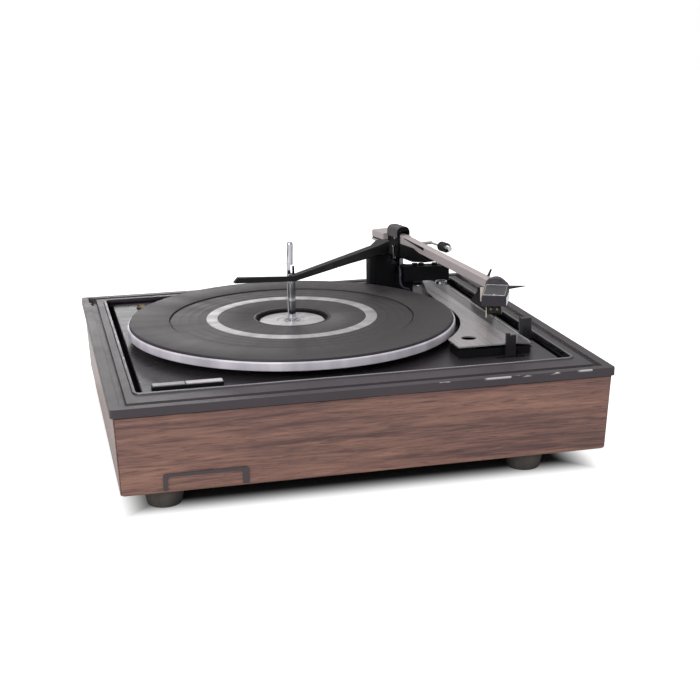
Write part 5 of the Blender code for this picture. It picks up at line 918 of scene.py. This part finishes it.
class CHANGER_OT_unit_plate(bpy.types.Operator):
    """Finish the unit plate with its badge bar and transit screws"""

    bl_idname = "changer.unit_plate"
    bl_label = "Unit plate"

    def execute(self, context):
        softened_copy("unit_plate", "plate_paint", 0.0)
        # Black sheets under and round the gap by the unit plate: painted shade that hides the
        # boards inside
        slab("gap_seal", (0.1640, -0.1440, 0.0700), (0.1745, 0.1560, 0.0712), "matt_black",
             0.0002)
        for side, near, far in (("left", (-0.1745, -0.1620), (-0.1738, 0.1620)),
                                ("right", (0.1738, -0.1620), (0.1745, 0.1620)),
                                ("front", (-0.1735, -0.1625), (0.1735, -0.1618)),
                                ("back", (-0.1735, 0.1618), (0.1735, 0.1625))):
            slab("gap_wall_" + side, (*near, 0.0640), (*far, 0.0773), "matt_black",
                 0.0001)
        self.badge()
        for node in ("transit_screw_left", "transit_screw_right"):
            self.screw(node)
        return {"FINISHED"}

    def badge(self):
        """A black bar with a dark textured panel and a bright one, left bare."""
        low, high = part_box("badge_bar")
        rise = high.z - low.z
        slab("badge_body", low, high - Vector((0, 0, rise * 0.25)), "black_moulding",
             rise * 0.12, ("badge_bar",))
        margin = rise * 0.22
        parting = low.x + (high.x - low.x) * 0.47
        for side, left, right, finish in (
                ("left", low.x + margin, parting - margin / 2, "badge_dark"),
                ("right", parting + margin / 2, high.x - margin, "badge_light")):
            slab("badge_panel_" + side, (left, low.y + margin, high.z - rise * 0.3),
                 (right, high.y - margin, high.z), finish, rise * 0.08)

    def screw(self, node):
        """A domed screw head on a washer, with a straight slot."""
        low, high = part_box(node)
        centre = middle(node)
        radius = half_width(node)
        crown = 0.0022
        seat = high.z - crown
        profile = [(0, high.z)]
        profile += [(radius * 0.9 * math.sin(a), seat + crown * 0.35 + crown * 0.65 * math.cos(a))
                    for a in (0.25, 0.5, 0.75, 1.0, 1.25, 1.5)]
        profile += [(radius, seat + crown * 0.30), (radius, seat + 0.0002),
                    (radius * 0.4, seat + 0.0002), (radius * 0.4, low.z), (0, low.z)]
        piece(node + "_turned", turned(profile, centre, 48), "bronze", "base",
              (node,))
        slab(node + "_slot",
             (centre.x - radius * 0.8, centre.y - radius * 0.09, high.z - crown * 0.2),
             (centre.x + radius * 0.8, centre.y + radius * 0.09, high.z + 0.00005),
             "black_moulding")


class CHANGER_OT_springs(bpy.types.Operator):
    """Wind the four suspension springs"""

    bl_idname = "changer.springs"
    bl_label = "Suspension springs"

    def execute(self, context):
        nodes = nodes_called("suspension_spring")
        low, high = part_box(nodes[0])
        wire = sizes().spring_wire
        points = [(middle(node).x, middle(node).y, low.z + wire) for node in nodes]
        mesh = grown_mesh("springs", spring_tree(), points_mesh("spring_spots", points), {
            "Radius": half_width(nodes[0]) - wire, "Wire": wire,
            "Height": high.z - low.z - wire * 2, "Turns": sizes().spring_turns,
            "Material": finish_named("small_steel")})
        settle("suspension_springs", mesh, "base", nodes)
        return {"FINISHED"}


class CHANGER_OT_mechanism(bpy.types.Operator):
    """Finish what is hidden under the platter and the unit plate"""

    bl_idname = "changer.mechanism"
    bl_label = "Mechanism"

    def execute(self, context):
        dress("small_steel", "bearing_tube", "motor_bracket", "motor_rotor", "idler_arm",
              "overarm_post")
        dress("bead_metal", "thrust_washer")
        dress("laminations", "motor_stator")
        dress("winding", "motor_coil")
        dress("idler_rubber", "idler_wheel")
        dress("black_moulding", "cam_gear")
        dress("matt_black", "spindle_pusher")
        return {"FINISHED"}


class CHANGER_OT_platter(bpy.types.Operator):
    """Turn the platter, its mat, the trim ring and the centre disc"""

    bl_idname = "changer.platter"
    bl_label = "Platter"

    def execute(self, context):
        self.rim()
        self.mat()
        self.ring()
        self.recess()
        self.disc()
        return {"FINISHED"}

    def turn(self, name, profile, finish, slot, stands_for=(), angle=32.0, coarser=1):
        """A piece turned about the platter's axis."""
        bm = turned(profile, PLATTER_CENTRE, sizes().turn_steps // coarser)
        piece(name, bm, finish, "platter_body", stands_for, angle)

    def rim(self):
        radius = half_width("platter")
        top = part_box("platter")[1].z
        lip = 0.0013
        skirt = radius - 0.0028
        skirt_low = 0.0875
        profile = [(radius - 0.0015, top), (radius - 0.0009, top)]
        profile += arc((radius - lip, top - lip), lip, math.pi * 0.42, 0, 6)
        profile += [(radius, skirt_low + 0.0005), (radius - 0.0005, skirt_low),
                    (skirt, skirt_low)]
        profile += [(reach, PLATTER_WEB - drop) for reach, drop in (
            (skirt, 0.0022), (0.0327, 0.0022), (0.0283, 0.0055), (0.0108, 0.0055),
            (0.0108, 0.0033), (0.0283, 0.0033), (0.0303, 0), (radius - 0.0015, 0))]
        self.turn("platter_turned", profile, "platter_metal", "brushed_aluminium", ("platter",),
                  28.0)

    def mat(self):
        """The mat, with a groove for the trim ring and three raised rings."""
        low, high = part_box("platter_mat")
        outer = half_width("platter_mat")
        inner = 0.0309
        step = high.z - 0.0010
        play = 0.0003
        ring_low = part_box("trim_ring")[0].z - play
        ring_outer = half_width("trim_ring") + play
        ring_inner = half_width("trim_ring") - RING_WIDTH - play
        profile = [(outer - 0.0012, high.z), (outer - 0.0004, high.z - 0.0003),
                   (outer, high.z - 0.0010), (outer, low.z), (inner, low.z)]
        profile += [(inner + reach, step - drop) for reach, drop in (
            (0, 0.0004), (0.0004, 0), (0.0016, 0), (0.0020, 0.0003), (0.0026, 0.0003),
            (0.0030, 0))]
        profile += [(ring_inner, step), (ring_inner, ring_low), (ring_outer, ring_low),
                    (ring_outer, step)]
        ridge_half, ridge_height = 0.0004, 0.00008
        for radius in (0.0808, 0.0885, 0.0963):
            profile += [(radius - ridge_half, step), (radius, step + ridge_height),
                        (radius + ridge_half, step)]
        profile += [(0.1031, step), (0.1034, step - 0.0010), (0.1040, step - 0.0010),
                    (0.1044, high.z - 0.0002), (0.1050, high.z)]
        self.turn("mat_turned", profile, "mat_rubber", "mat_rubber", ("platter_mat",), 40.0)

    def ring(self):
        low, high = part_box("trim_ring")
        outer = half_width("trim_ring")
        inner = outer - RING_WIDTH
        section = [(outer, high.z), (outer, low.z), (inner, low.z), (inner, high.z)]
        self.turn("trim_ring_turned", rounded_profile(section, 0.0005, 3), "ring_metal",
                  "bright_metal", ("trim_ring",), 60.0)

    def recess(self):
        """A black ring over the recess round the centre disc: painted shade in the recess."""
        profile = [(radius, PLATTER_WEB + rise) for radius, rise in (
            (0.0308, 0.00025), (0.0301, 0.00025), (0.0282, -0.0030), (0.0283, -0.0032),
            (0.0303, 0.00002), (0.0308, 0.00002))]
        self.turn("recess_lining", profile, "matt_black", "mat_rubber")

    def disc(self):
        """The dished centre plate with its spring clip and the turned boss."""
        low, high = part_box("centre_disc")
        outer = half_width("centre_disc")
        edge = high.z - 0.0006
        bore = 0.00395
        flange = 0.0907
        hub = 0.0105
        sleeve = 0.0079
        shoulder = 0.0888
        profile = [(outer - 0.0008, high.z), (outer, edge), (outer, flange), (hub, flange),
                   (hub, low.z), (sleeve, low.z), (sleeve, shoulder), (bore, shoulder),
                   (bore, edge), (bore + 0.0004, high.z - 0.0002), (0.0098, high.z - 0.0002),
                   (0.0104, edge), (0.0126, edge), (0.0132, high.z)]
        self.turn("centre_disc_turned", profile, "disc_metal", "brushed_aluminium",
                  ("centre_disc",), coarser=2)
        self.pinion(hub + 0.00002)
        start, end = math.radians(-60), math.radians(240)
        outline = arc(PLATTER_CENTRE, 0.0072, start, end, 40)
        outline += arc(PLATTER_CENTRE, 0.0048, end, start, 40)
        clip = prism(outline, high.z - 0.0002, high.z + 0.0007)
        piece("spring_clip", clip, "chrome", "platter_body", edge=0.00015)

    def pinion(self, inner, root=0.0108, tip=0.0125, teeth=14):
        """The small gear round the hub that turns the cycle gear."""
        outlines = ([], [])
        for tooth in range(teeth):
            for share, outer in ((0.0, root), (0.2, root), (0.35, tip), (0.65, tip), (0.8, root)):
                angle = math.tau * (tooth + share) / teeth
                for outline, radius in zip(outlines, (outer, inner)):
                    outline.append(on_circle(PLATTER_CENTRE, radius, angle))
        piece("hub_pinion", collar(*outlines, 0.0835, 0.0872), "small_steel", "platter_body")


class CHANGER_OT_spindle(bpy.types.Operator):
    """Polish the stepped spindle with its notch and leaning finger"""

    bl_idname = "changer.spindle"
    bl_label = "Spindle"

    def execute(self, context):
        piece("spindle_polished", cleaned("spindle"), "chrome", "base",
              ("spindle",), outwards=False)
        return {"FINISHED"}


class CHANGER_OT_control_plate(bpy.types.Operator):
    """Finish the control housing and its brushed plate"""

    bl_idname = "changer.control_plate"
    bl_label = "Control plate"

    def execute(self, context):
        softened_copy("control_housing", "black_moulding", 0.0)
        softened_copy("control_plate", "control_metal", 0.0, angle=4.0)
        slab("housing_end", (0.1345, -0.1072, 0.0813), (0.1479, -0.0940, 0.0892),
             "black_moulding", 0.0003)
        self.lip()
        self.bushing((0.1478, 0.1165), 0.0055)
        return {"FINISHED"}

    def lip(self):
        """The bright cut edge along the falling right side of the plate."""
        low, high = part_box("control_plate")
        edge = high.z - 0.0016
        slab("plate_lip", (0.1483, low.y + 0.004, edge - 0.0010), (0.1496, 0.0895, edge + 0.0007),
             "ring_metal", 0.0001)

    def bushing(self, centre, radius):
        """A round black well with a bright rim behind the plate."""
        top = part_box("control_plate")[1].z + 0.0006
        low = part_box("control_housing")[0].z
        bore = radius - 0.0008
        for name, profile, finish, slot in (
                ("bushing_well", [(0, top - 0.0006), (bore, top - 0.0006), (bore, low), (0, low)],
                 "black_moulding", "black_plastic"),
                ("bushing_rim", [(radius, top - 0.0002), (radius - 0.0002, top),
                                 (radius - 0.0006, top), (bore, top - 0.0002), (bore, low),
                                 (radius, low)], "chrome", "bright_metal")):
            piece(name, turned(profile, centre, 64), finish, "base")


class CHANGER_OT_levers(bpy.types.Operator):
    """Finish the front and right levers"""

    bl_idname = "changer.levers"
    bl_label = "Levers"

    def execute(self, context):
        for node in ("front_lever", "right_lever"):
            softened_copy(node, "knob_black")
        return {"FINISHED"}


class CHANGER_OT_arm_base(bpy.types.Operator):
    """Finish the arm base, cue pin, overarm, arm rest and the arm's lead"""

    bl_idname = "changer.arm_base"
    bl_label = "Arm base and overarm"

    def execute(self, context):
        softened_copy("arm_base", "matt_black")
        self.overarm()
        softened_copy("arm_rest", "black_moulding")
        softened_copy("arm_rest_liner", "ivory")
        self.cue_pin()
        slab("base_backing", (0.0965, 0.1380, 0.1050), (0.1035, 0.1500, 0.1138),
             "black_moulding", 0.0003)
        slab("base_web", (0.1030, 0.1475, 0.1030), (0.1136, 0.1500, 0.1146), "matt_black",
             0.0003)
        self.lead()
        self.screws()
        return {"FINISHED"}

    def cue_pin(self):
        low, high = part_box("cue_pin")
        radius = half_width("cue_pin")
        profile = [(0, high.z), (radius * 0.5, high.z - 0.0001), (radius, high.z - 0.0009),
                   (radius, low.z), (0, low.z)]
        piece("cue_pin_turned", turned(profile, middle("cue_pin"), 32), "post_grey", "cue",
              ("cue_pin",))

    def overarm(self):
        """The overarm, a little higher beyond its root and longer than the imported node."""
        lift = 0.0035
        longer = 0.0022
        root_radius = 0.020
        tip_length = 0.010
        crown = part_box("overarm")[1].z - 0.0030
        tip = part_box("overarm")[0].x
        post = middle("overarm_post")
        bm = cleaned("overarm")
        for vert in bm.verts:
            if vert.co.z > crown or (vert.co.xy - post.xy).length > root_radius:
                vert.co.z += lift
            if vert.co.x < tip + tip_length:
                vert.co.x -= longer
        piece("overarm_finished", bm, "overarm_black", "overarm_arm",
              ("overarm",), edge=sizes().edge_round, outwards=False)

    def lead(self):
        """The dark lead that leaves the cue guide and bends down to the plate."""
        path = [(0.1052, 0.1150, 0.1075), (0.1036, 0.1065, 0.1045), (0.1030, 0.1045, 0.0965),
                (0.1040, 0.1035, 0.0925), (0.1072, 0.1035, 0.0898), (0.1112, 0.1045, 0.0882),
                (0.1140, 0.1065, 0.0830)]
        mesh = grown_mesh("arm_lead", tube_tree(), path_curve("arm_lead", path), {
            "Radius": sizes().lead_radius, "Material": finish_named("lead_blue")})
        settle("arm_lead", mesh, "base")

    def screws(self):
        """Small pale screws on the plate round the arm base."""
        radius = 0.0017
        plate = 0.0812
        crown = turned([(0, 0.0009), (radius * 0.6, 0.0008), (radius, 0.0003), (radius, 0),
                        (0, 0)], (0, 0), 24)
        model = linked("screw", plain_mesh("screw", crown))
        spots = points_mesh("screw_spots", [(0.0990, 0.1440, plate), (0.1060, 0.1490, plate),
                                            (0.1329, 0.1445, plate)])
        mesh = grown_mesh("plate_screws", scatter_tree(), spots, {
            "Shape": model, "Material": finish_named("ring_metal")})
        settle("plate_screws", mesh, "base")
        bpy.data.objects.remove(model, do_unlink=True)


class CHANGER_OT_tonearm(bpy.types.Operator):
    """Make the yoke with its cap, the beam, counterweight, saddle and force knob"""

    bl_idname = "changer.tonearm"
    bl_label = "Tonearm"

    def execute(self, context):
        softened_copy("arm_yoke", "matt_black", 0.0002)
        softened_copy("feeler_rod", "chrome", 0.0)
        softened_copy("arm_saddle", "matt_black", 0.0, angle=18.0)
        self.cap()
        self.beam()
        self.weight()
        self.knob()
        return {"FINISHED"}

    def cap(self):
        """The grey hood that covers the yoke down to the beam's middle."""
        def arch(half, top, rounding, low):
            return ([(-half, low)]
                    + arc((rounding - half, top - rounding), rounding, math.pi, math.pi / 2, 7)
                    + arc((half - rounding, top - rounding), rounding, math.pi / 2, 0, 7)
                    + [(half, low)])

        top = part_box("arm_yoke")[1].z
        brim = 0.1338
        outline = arch(0.0070, top + 0.0006, 0.0052, brim)
        outline += reversed(arch(0.0064, top + 0.0001, 0.0046, brim))
        hood = prism(outline, -0.0136, 0.0066, ARM_ALONG)
        piece("yoke_cap", hood, "cap_paint", "arm_swing", edge=0.00025)

    def beam(self):
        """The falling beam with its stub, root, a black wedge of painted shade, lift blade and
        gimbal pin.
        """
        def falling(*points):
            """Points of (reach, height) from heights over the beam's middle line."""
            return [(reach, PIVOT.z - reach * BEAM_FALL + rise) for reach, rise in points]

        half = BEAM_HALF
        start, end = -0.0125, 0.1675
        stub_height = 0.131
        root, root_end = 0.0086, 0.0150
        shade_start, shade_end = 0.0160, 0.0540
        bar = prism(falling((start, half), (end, half), (end, -half), (start, -half)),
                    -half, half, ARM_ACROSS)
        piece("beam_bar", bar, "arm_paint", "arm", ("tonearm_beam",), edge=0.0007)
        stub = rod((start - 0.0245, 0, stub_height), (start + 0.002, 0, stub_height), 0.0024, 32,
                   matrix=ARM)
        piece("beam_stub", stub, "small_steel", "arm")
        collar_up, collar_down = half + 0.0003, -half - 0.0008
        sleeve = prism(falling((root, collar_up), (root_end, collar_up),
                               (root_end, collar_down), (root, collar_down)),
                       -half - 0.0004, half + 0.0004, ARM_ACROSS)
        piece("beam_root", sleeve, "arm_paint", "arm", edge=0.0003)
        # a thin black wedge along the beam's side: painted shade of the gap there
        wedge = prism(falling((shade_start, half - 0.0006), (shade_end, half - 0.0006),
                              (shade_end, half - 0.0032), (shade_start, half - 0.0012)),
                      half, half + 0.0003, ARM_ACROSS)
        piece("beam_seam", wedge, "black_moulding", "arm")
        height = falling((0.1556, half))[0][1]
        blade = prism([(0.0016, height - 0.0012), (0.0042, height - 0.0012),
                       (0.0068, height + 0.0058), (0.0054, height + 0.0058)],
                      0.1550, 0.1562, ARM_ALONG)
        piece("lift_blade", blade, "shell_face", "arm", edge=0.0001)
        axle = rod((0, -0.0062, PIVOT.z), (0, 0.0062, PIVOT.z), 0.0014, matrix=ARM)
        piece("gimbal_pin", axle, "small_steel", "arm")

    def weight(self):
        """The counterweight: a block over a dark slot and a thin pale lip."""
        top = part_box("counterweight")[1].z
        half = 0.01075
        for name, reach, base, roof, finish, edge, stands_for in (
                ("block", half, 0.0072, 0, "arm_paint", 0.0012, ("counterweight",)),
                ("core", half - 0.0010, 0.0086, 0.0070, "black_moulding", 0.0, ()),
                ("lip", half + 0.0002, 0.0102, 0.0084, "arm_paint", 0.0003, ())):
            slab("weight_" + name, (-0.0395, -reach, top - base), (-0.0150, reach, top - roof),
                 finish, edge, stands_for, body="arm", matrix=ARM)

    def knob(self):
        """The ribbed force knob on its thin shaft, with a bright tip."""
        place = ARM @ Matrix.Translation((0.0511, 0.0196, KNOB_HEIGHT))
        place = place @ Matrix.Rotation(math.radians(90), 4, "Y")
        radius = 0.0042
        half = 0.0065
        core = turned([(0, half), (radius - 0.0010, half), (radius, half - 0.0010),
                       (radius, 0.0010 - half), (radius - 0.0010, -half), (0, -half)],
                      (0, 0), 48)
        mesh = grown_mesh("force_knob_ribbed", rib_tree(), plain_mesh("knob_core", core), {
            "Count": sizes().knob_ribs, "Radius": radius, "Rib": 0.00042,
            "Length": half * 2 - 0.0022, "Material": finish_named("knob_black")})
        mesh.transform(place)
        settle("force_knob_ribbed", mesh, "knob", ("force_knob",))
        tip = rod((0, 0, half), (0, 0, half + 0.0045), 0.0030, 32, 0.00225, place)
        piece("knob_tip", tip, "chrome", "knob", edge=0.0002)
        shaft = rod((0, 0, -0.0255), (0, 0, -half), 0.0010, 20, matrix=place)
        piece("knob_shaft", shaft, "post_grey", "knob")
        lug = rod((0.0256, 0.0030, KNOB_HEIGHT), (0.0256, 0.0210, KNOB_HEIGHT), 0.0015,
                  matrix=ARM)
        piece("knob_lug", lug, "post_grey", "arm", edge=0.0002)


class CHANGER_OT_headshell(bpy.types.Operator):
    """Make the headshell with its arched rear, cartridge and clip"""

    bl_idname = "changer.headshell"
    bl_label = "Headshell"

    def execute(self, context):
        self.shell(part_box("headshell")[0].z)
        self.trim()
        softened_copy("cartridge", "black_moulding", 0.0)
        softened_copy("cartridge_clip", "ivory", 0.0)
        return {"FINISHED"}

    def roof(self, depth):
        """Height of the flat roof at a depth behind the front."""
        front_height, rise, flat_depth = 0.1178, 0.0030, 0.0290
        return front_height + min(depth / flat_depth, 1.0) * rise

    def shell(self, low):
        """A closed loft: a flat roof with slanted sides that rises into an arched hump."""
        shares = (-1.0, -0.94, -0.80, -0.60, -0.40, -0.20, 0.0, 0.20, 0.40, 0.60, 0.80, 0.94, 1.0)
        hump = (0.0030, 0.0036, 0.0045, 0.0054, 0.0060, 0.0063, 0.0062, 0.0057, 0.0048, 0.0035,
                0.0020, 0.0009, 0.0004)
        sections = ((0.0, 0.0), (0.0006, 0.0), (0.0290, 0.0), (0.0296, 0.45), (0.0310, 0.78),
                    (0.0335, 1.0), (0.0360, 0.96), (0.0372, 0.80))
        bm = bmesh.new()
        loops = []
        for depth, rise in sections:
            half = SHELL_HALF - max(0.0, depth - SHELL_LENGTH) * 0.35
            roof = self.roof(depth) - (0.0006 if depth == 0.0 else 0.0)
            top = [(share * (half - 0.0004), depth,
                    roof + rise * lift - (0.0005 if abs(share) == 1.0 else 0.0))
                   for share, lift in zip(shares, hump)]
            wall = [(half, depth, roof - 0.0014), (half, depth, low), (-half, depth, low),
                    (-half, depth, roof - 0.0014)]
            loops.append([bm.verts.new(point) for point in top + wall])
        bridge(bm, loops)
        bm.faces.new(loops[0])
        bm.faces.new(list(reversed(loops[-1])))
        shell = piece("headshell_hood", moved(bm, SHELL), "shell_paint", "arm",
                      ("headshell",), angle=24.0)
        # The front- and down-facing faces take a darker grey: painted shade.
        shell.data.materials.append(finish_named("shell_face"))
        forward = SHELL.to_3x3() @ Vector((0, -1, 0))
        facing_front, facing_down = 0.7, -0.5
        for face in shell.data.polygons:
            if face.normal.dot(forward) > facing_front or face.normal.z < facing_down:
                face.material_index = 1

    def trim(self):
        """Bright border lines, the pip, the chrome side strip, the screws and the lift."""
        right = SHELL_HALF - 0.0013
        front, rear = 0.0016, 0.0284
        line_radius = 0.000225
        screw_height = 0.1062
        for name, *ends in (("left", (-right, front), (-right, rear)),
                            ("right", (right, front), (right, rear)),
                            ("front", (-right, front), (right, front)),
                            ("rear", (-right, rear), (right, rear))):
            ends = [(x, depth, self.roof(depth) + 0.00002) for x, depth in ends]
            line = rod(*ends, line_radius, 8, matrix=SHELL)
            piece("shell_line_" + name, line, "ring_metal", "arm")
        pip = turned([(0, 0.0005), (0.0004, 0.0004), (0.0006, 0), (0, 0)], (0, 0), 16,
                     SHELL @ Matrix.Translation((0, 0.0030, self.roof(0.0030))))
        piece("shell_pip", pip, "ivory", "arm")
        slab("shell_strip", (SHELL_HALF + 0.00005, 0.0008, 0.1095),
             (SHELL_HALF + 0.00045, 0.0280, 0.1163), "chrome", 0.0001,
             body="arm", matrix=SHELL)
        lift = rod((SHELL_HALF - 0.002, 0.0285, 0.1188), (SHELL_HALF + 0.0140, 0.0260, 0.1213),
                   0.0018, 20, 0.00035, SHELL)
        piece("finger_lift", lift, "shell_face", "arm")
        for side, x in (("left", -0.0022), ("right", 0.0030)):
            head = rod((x, 0.0030, screw_height), (x, 0.0006, screw_height), 0.0011, 20,
                       matrix=SHELL)
            piece("shell_screw_" + side, head, "bronze", "arm", edge=0.0001)


class CHANGER_OT_stage(bpy.types.Operator):
    """Set up the floor, the lights and the camera"""

    bl_idname = "changer.stage"
    bl_label = "Studio"

    def execute(self, context):
        self.floor()
        self.world()
        self.lamp("key", (-1.5, -1.7, 1.6), (1.6, 1.6), studio().key_watts)
        self.lamp("top", (0.2, 0.9, 2.0), (1.8, 1.8), studio().top_watts)
        self.lamp("card", (-0.06, 2.2, 0.57), (0.80, 0.30), studio().card_watts)
        self.camera()
        context.scene.view_settings.view_transform = "Standard"
        return {"FINISHED"}

    def floor(self):
        """A white floor with painted shadow under the plinth, brighter to the camera."""
        half = studio().floor_half
        mesh = bpy.data.meshes.new("floor")
        mesh.from_pydata([(-half, -half, 0), (half, -half, 0), (half, half, 0), (-half, half, 0)],
                         [], [(0, 1, 2, 3)])
        floor = linked("floor", mesh)
        finish = Finish("floor", 0.9, specular=0.0)
        outside = self.outside(finish)
        # painted shadow: the floor's colour and its glow both fade out under the plinth
        finish.paint(finish.levels(outside, 0.0, 1.0, *PAINTED_SHADOW_AND_FLOOR_TONES))
        strength = finish.product(outside, FLOOR_GLOW)
        glow = finish.node("ShaderNodeEmission", {"Strength": strength})
        seen = finish.node("ShaderNodeAddShader", {
            0: finish.shader.outputs[0], 1: glow.outputs[0]})
        finish.end("Material Output", finish.shader, seen)
        mesh.materials.append(finish.material)

    def outside(self, finish):
        """A share that is 0 in the painted shadow under the plinth's middle and 1 outside it."""
        sides = finish.split(finish.spot())
        apart = [finish.sum_up("SUBTRACT", finish.sum_up("ABSOLUTE", sides[axis]), reach)
                 for axis, reach in (("X", CAD_BOX[1].x), ("Y", -CAD_BOX[0].y))]
        return finish.levels(finish.sum_up("MAXIMUM", *apart), *PAINTED_SHADOW_ENDS, ramp="SMOOTHSTEP")

    def world(self):
        """Even light from all round, which the camera sees as white."""
        world = bpy.data.worlds.new("studio")
        bpy.context.scene.world = world
        shading = Shading(world)
        white = (1, 1, 1, 1)
        light = shading.feed(shading.tree.nodes["Background"], {
            "Color": white, "Strength": studio().world_level})
        seen = shading.node("ShaderNodeBackground", {"Color": white, "Strength": 1.0})
        shading.end("World Output", light, seen)

    def lamp(self, name, place, sides, watts):
        light = bpy.data.lights.new(name, "AREA")
        light.shape = "RECTANGLE"
        light.size, light.size_y = sides
        light.energy = watts
        obj = linked(name, light)
        obj.location = place
        aim = LAMP_AIM - Vector(place)
        obj.rotation_euler = aim.to_track_quat("-Z", "Y").to_euler()

    def camera(self):
        yaw = -studio().camera_yaw
        pitch = studio().camera_pitch
        roll = -studio().camera_roll
        forward = Vector((-math.sin(yaw) * math.cos(pitch), math.cos(yaw) * math.cos(pitch),
                          -math.sin(pitch)))
        level = Vector((math.cos(yaw), math.sin(yaw), 0))
        rise = level.cross(forward)
        right = level * math.cos(roll) + rise * math.sin(roll)
        up = rise * math.cos(roll) - level * math.sin(roll)
        data = bpy.data.cameras.new("camera")
        data.sensor_width = 36.0
        data.lens = studio().camera_lens
        data.clip_start = 0.01
        data.clip_end = 50.0
        camera = linked("camera", data)
        place = Matrix((right, up, -forward)).transposed().to_4x4()
        place.translation = studio().camera_place
        camera.matrix_world = place
        bpy.context.scene.camera = camera


OPERATORS = (CHANGER_OT_plinth, CHANGER_OT_top_frame, CHANGER_OT_unit_plate,
             CHANGER_OT_springs, CHANGER_OT_mechanism, CHANGER_OT_platter,
             CHANGER_OT_spindle, CHANGER_OT_control_plate, CHANGER_OT_levers,
             CHANGER_OT_arm_base, CHANGER_OT_tonearm, CHANGER_OT_headshell,
             CHANGER_OT_stage)


class CHANGER_PT_panel(bpy.types.Panel):
    """Lists the sizes, the colours and the steps that make the looks"""

    bl_idname = "CHANGER_PT_panel"
    bl_label = "Record changer"
    bl_space_type = "VIEW_3D"
    bl_region_type = "UI"
    bl_category = "Record changer"

    def draw(self, context):
        layout = self.layout
        for settings in (sizes(), colours(), studio()):
            box = layout.box()
            for key in settings.__annotations__:
                box.prop(settings, key)
        for operator in OPERATORS:
            layout.operator(operator.bl_idname)


CLASSES = (ChangerColours, ChangerSizes, ChangerStudio, *OPERATORS, CHANGER_PT_panel)


def register():
    for cls in CLASSES:
        bpy.utils.register_class(cls)
    bpy.types.Scene.changer_colours = PointerProperty(type=ChangerColours)
    bpy.types.Scene.changer_sizes = PointerProperty(type=ChangerSizes)
    bpy.types.Scene.changer_studio = PointerProperty(type=ChangerStudio)


def unregister():
    del bpy.types.Scene.changer_studio
    del bpy.types.Scene.changer_sizes
    del bpy.types.Scene.changer_colours
    for cls in reversed(CLASSES):
        bpy.utils.unregister_class(cls)


def main():
    register()
    for operator in OPERATORS:
        family, action = operator.bl_idname.split(".")
        getattr(getattr(bpy.ops, family), action)()


if __name__ == "__main__":
    main()
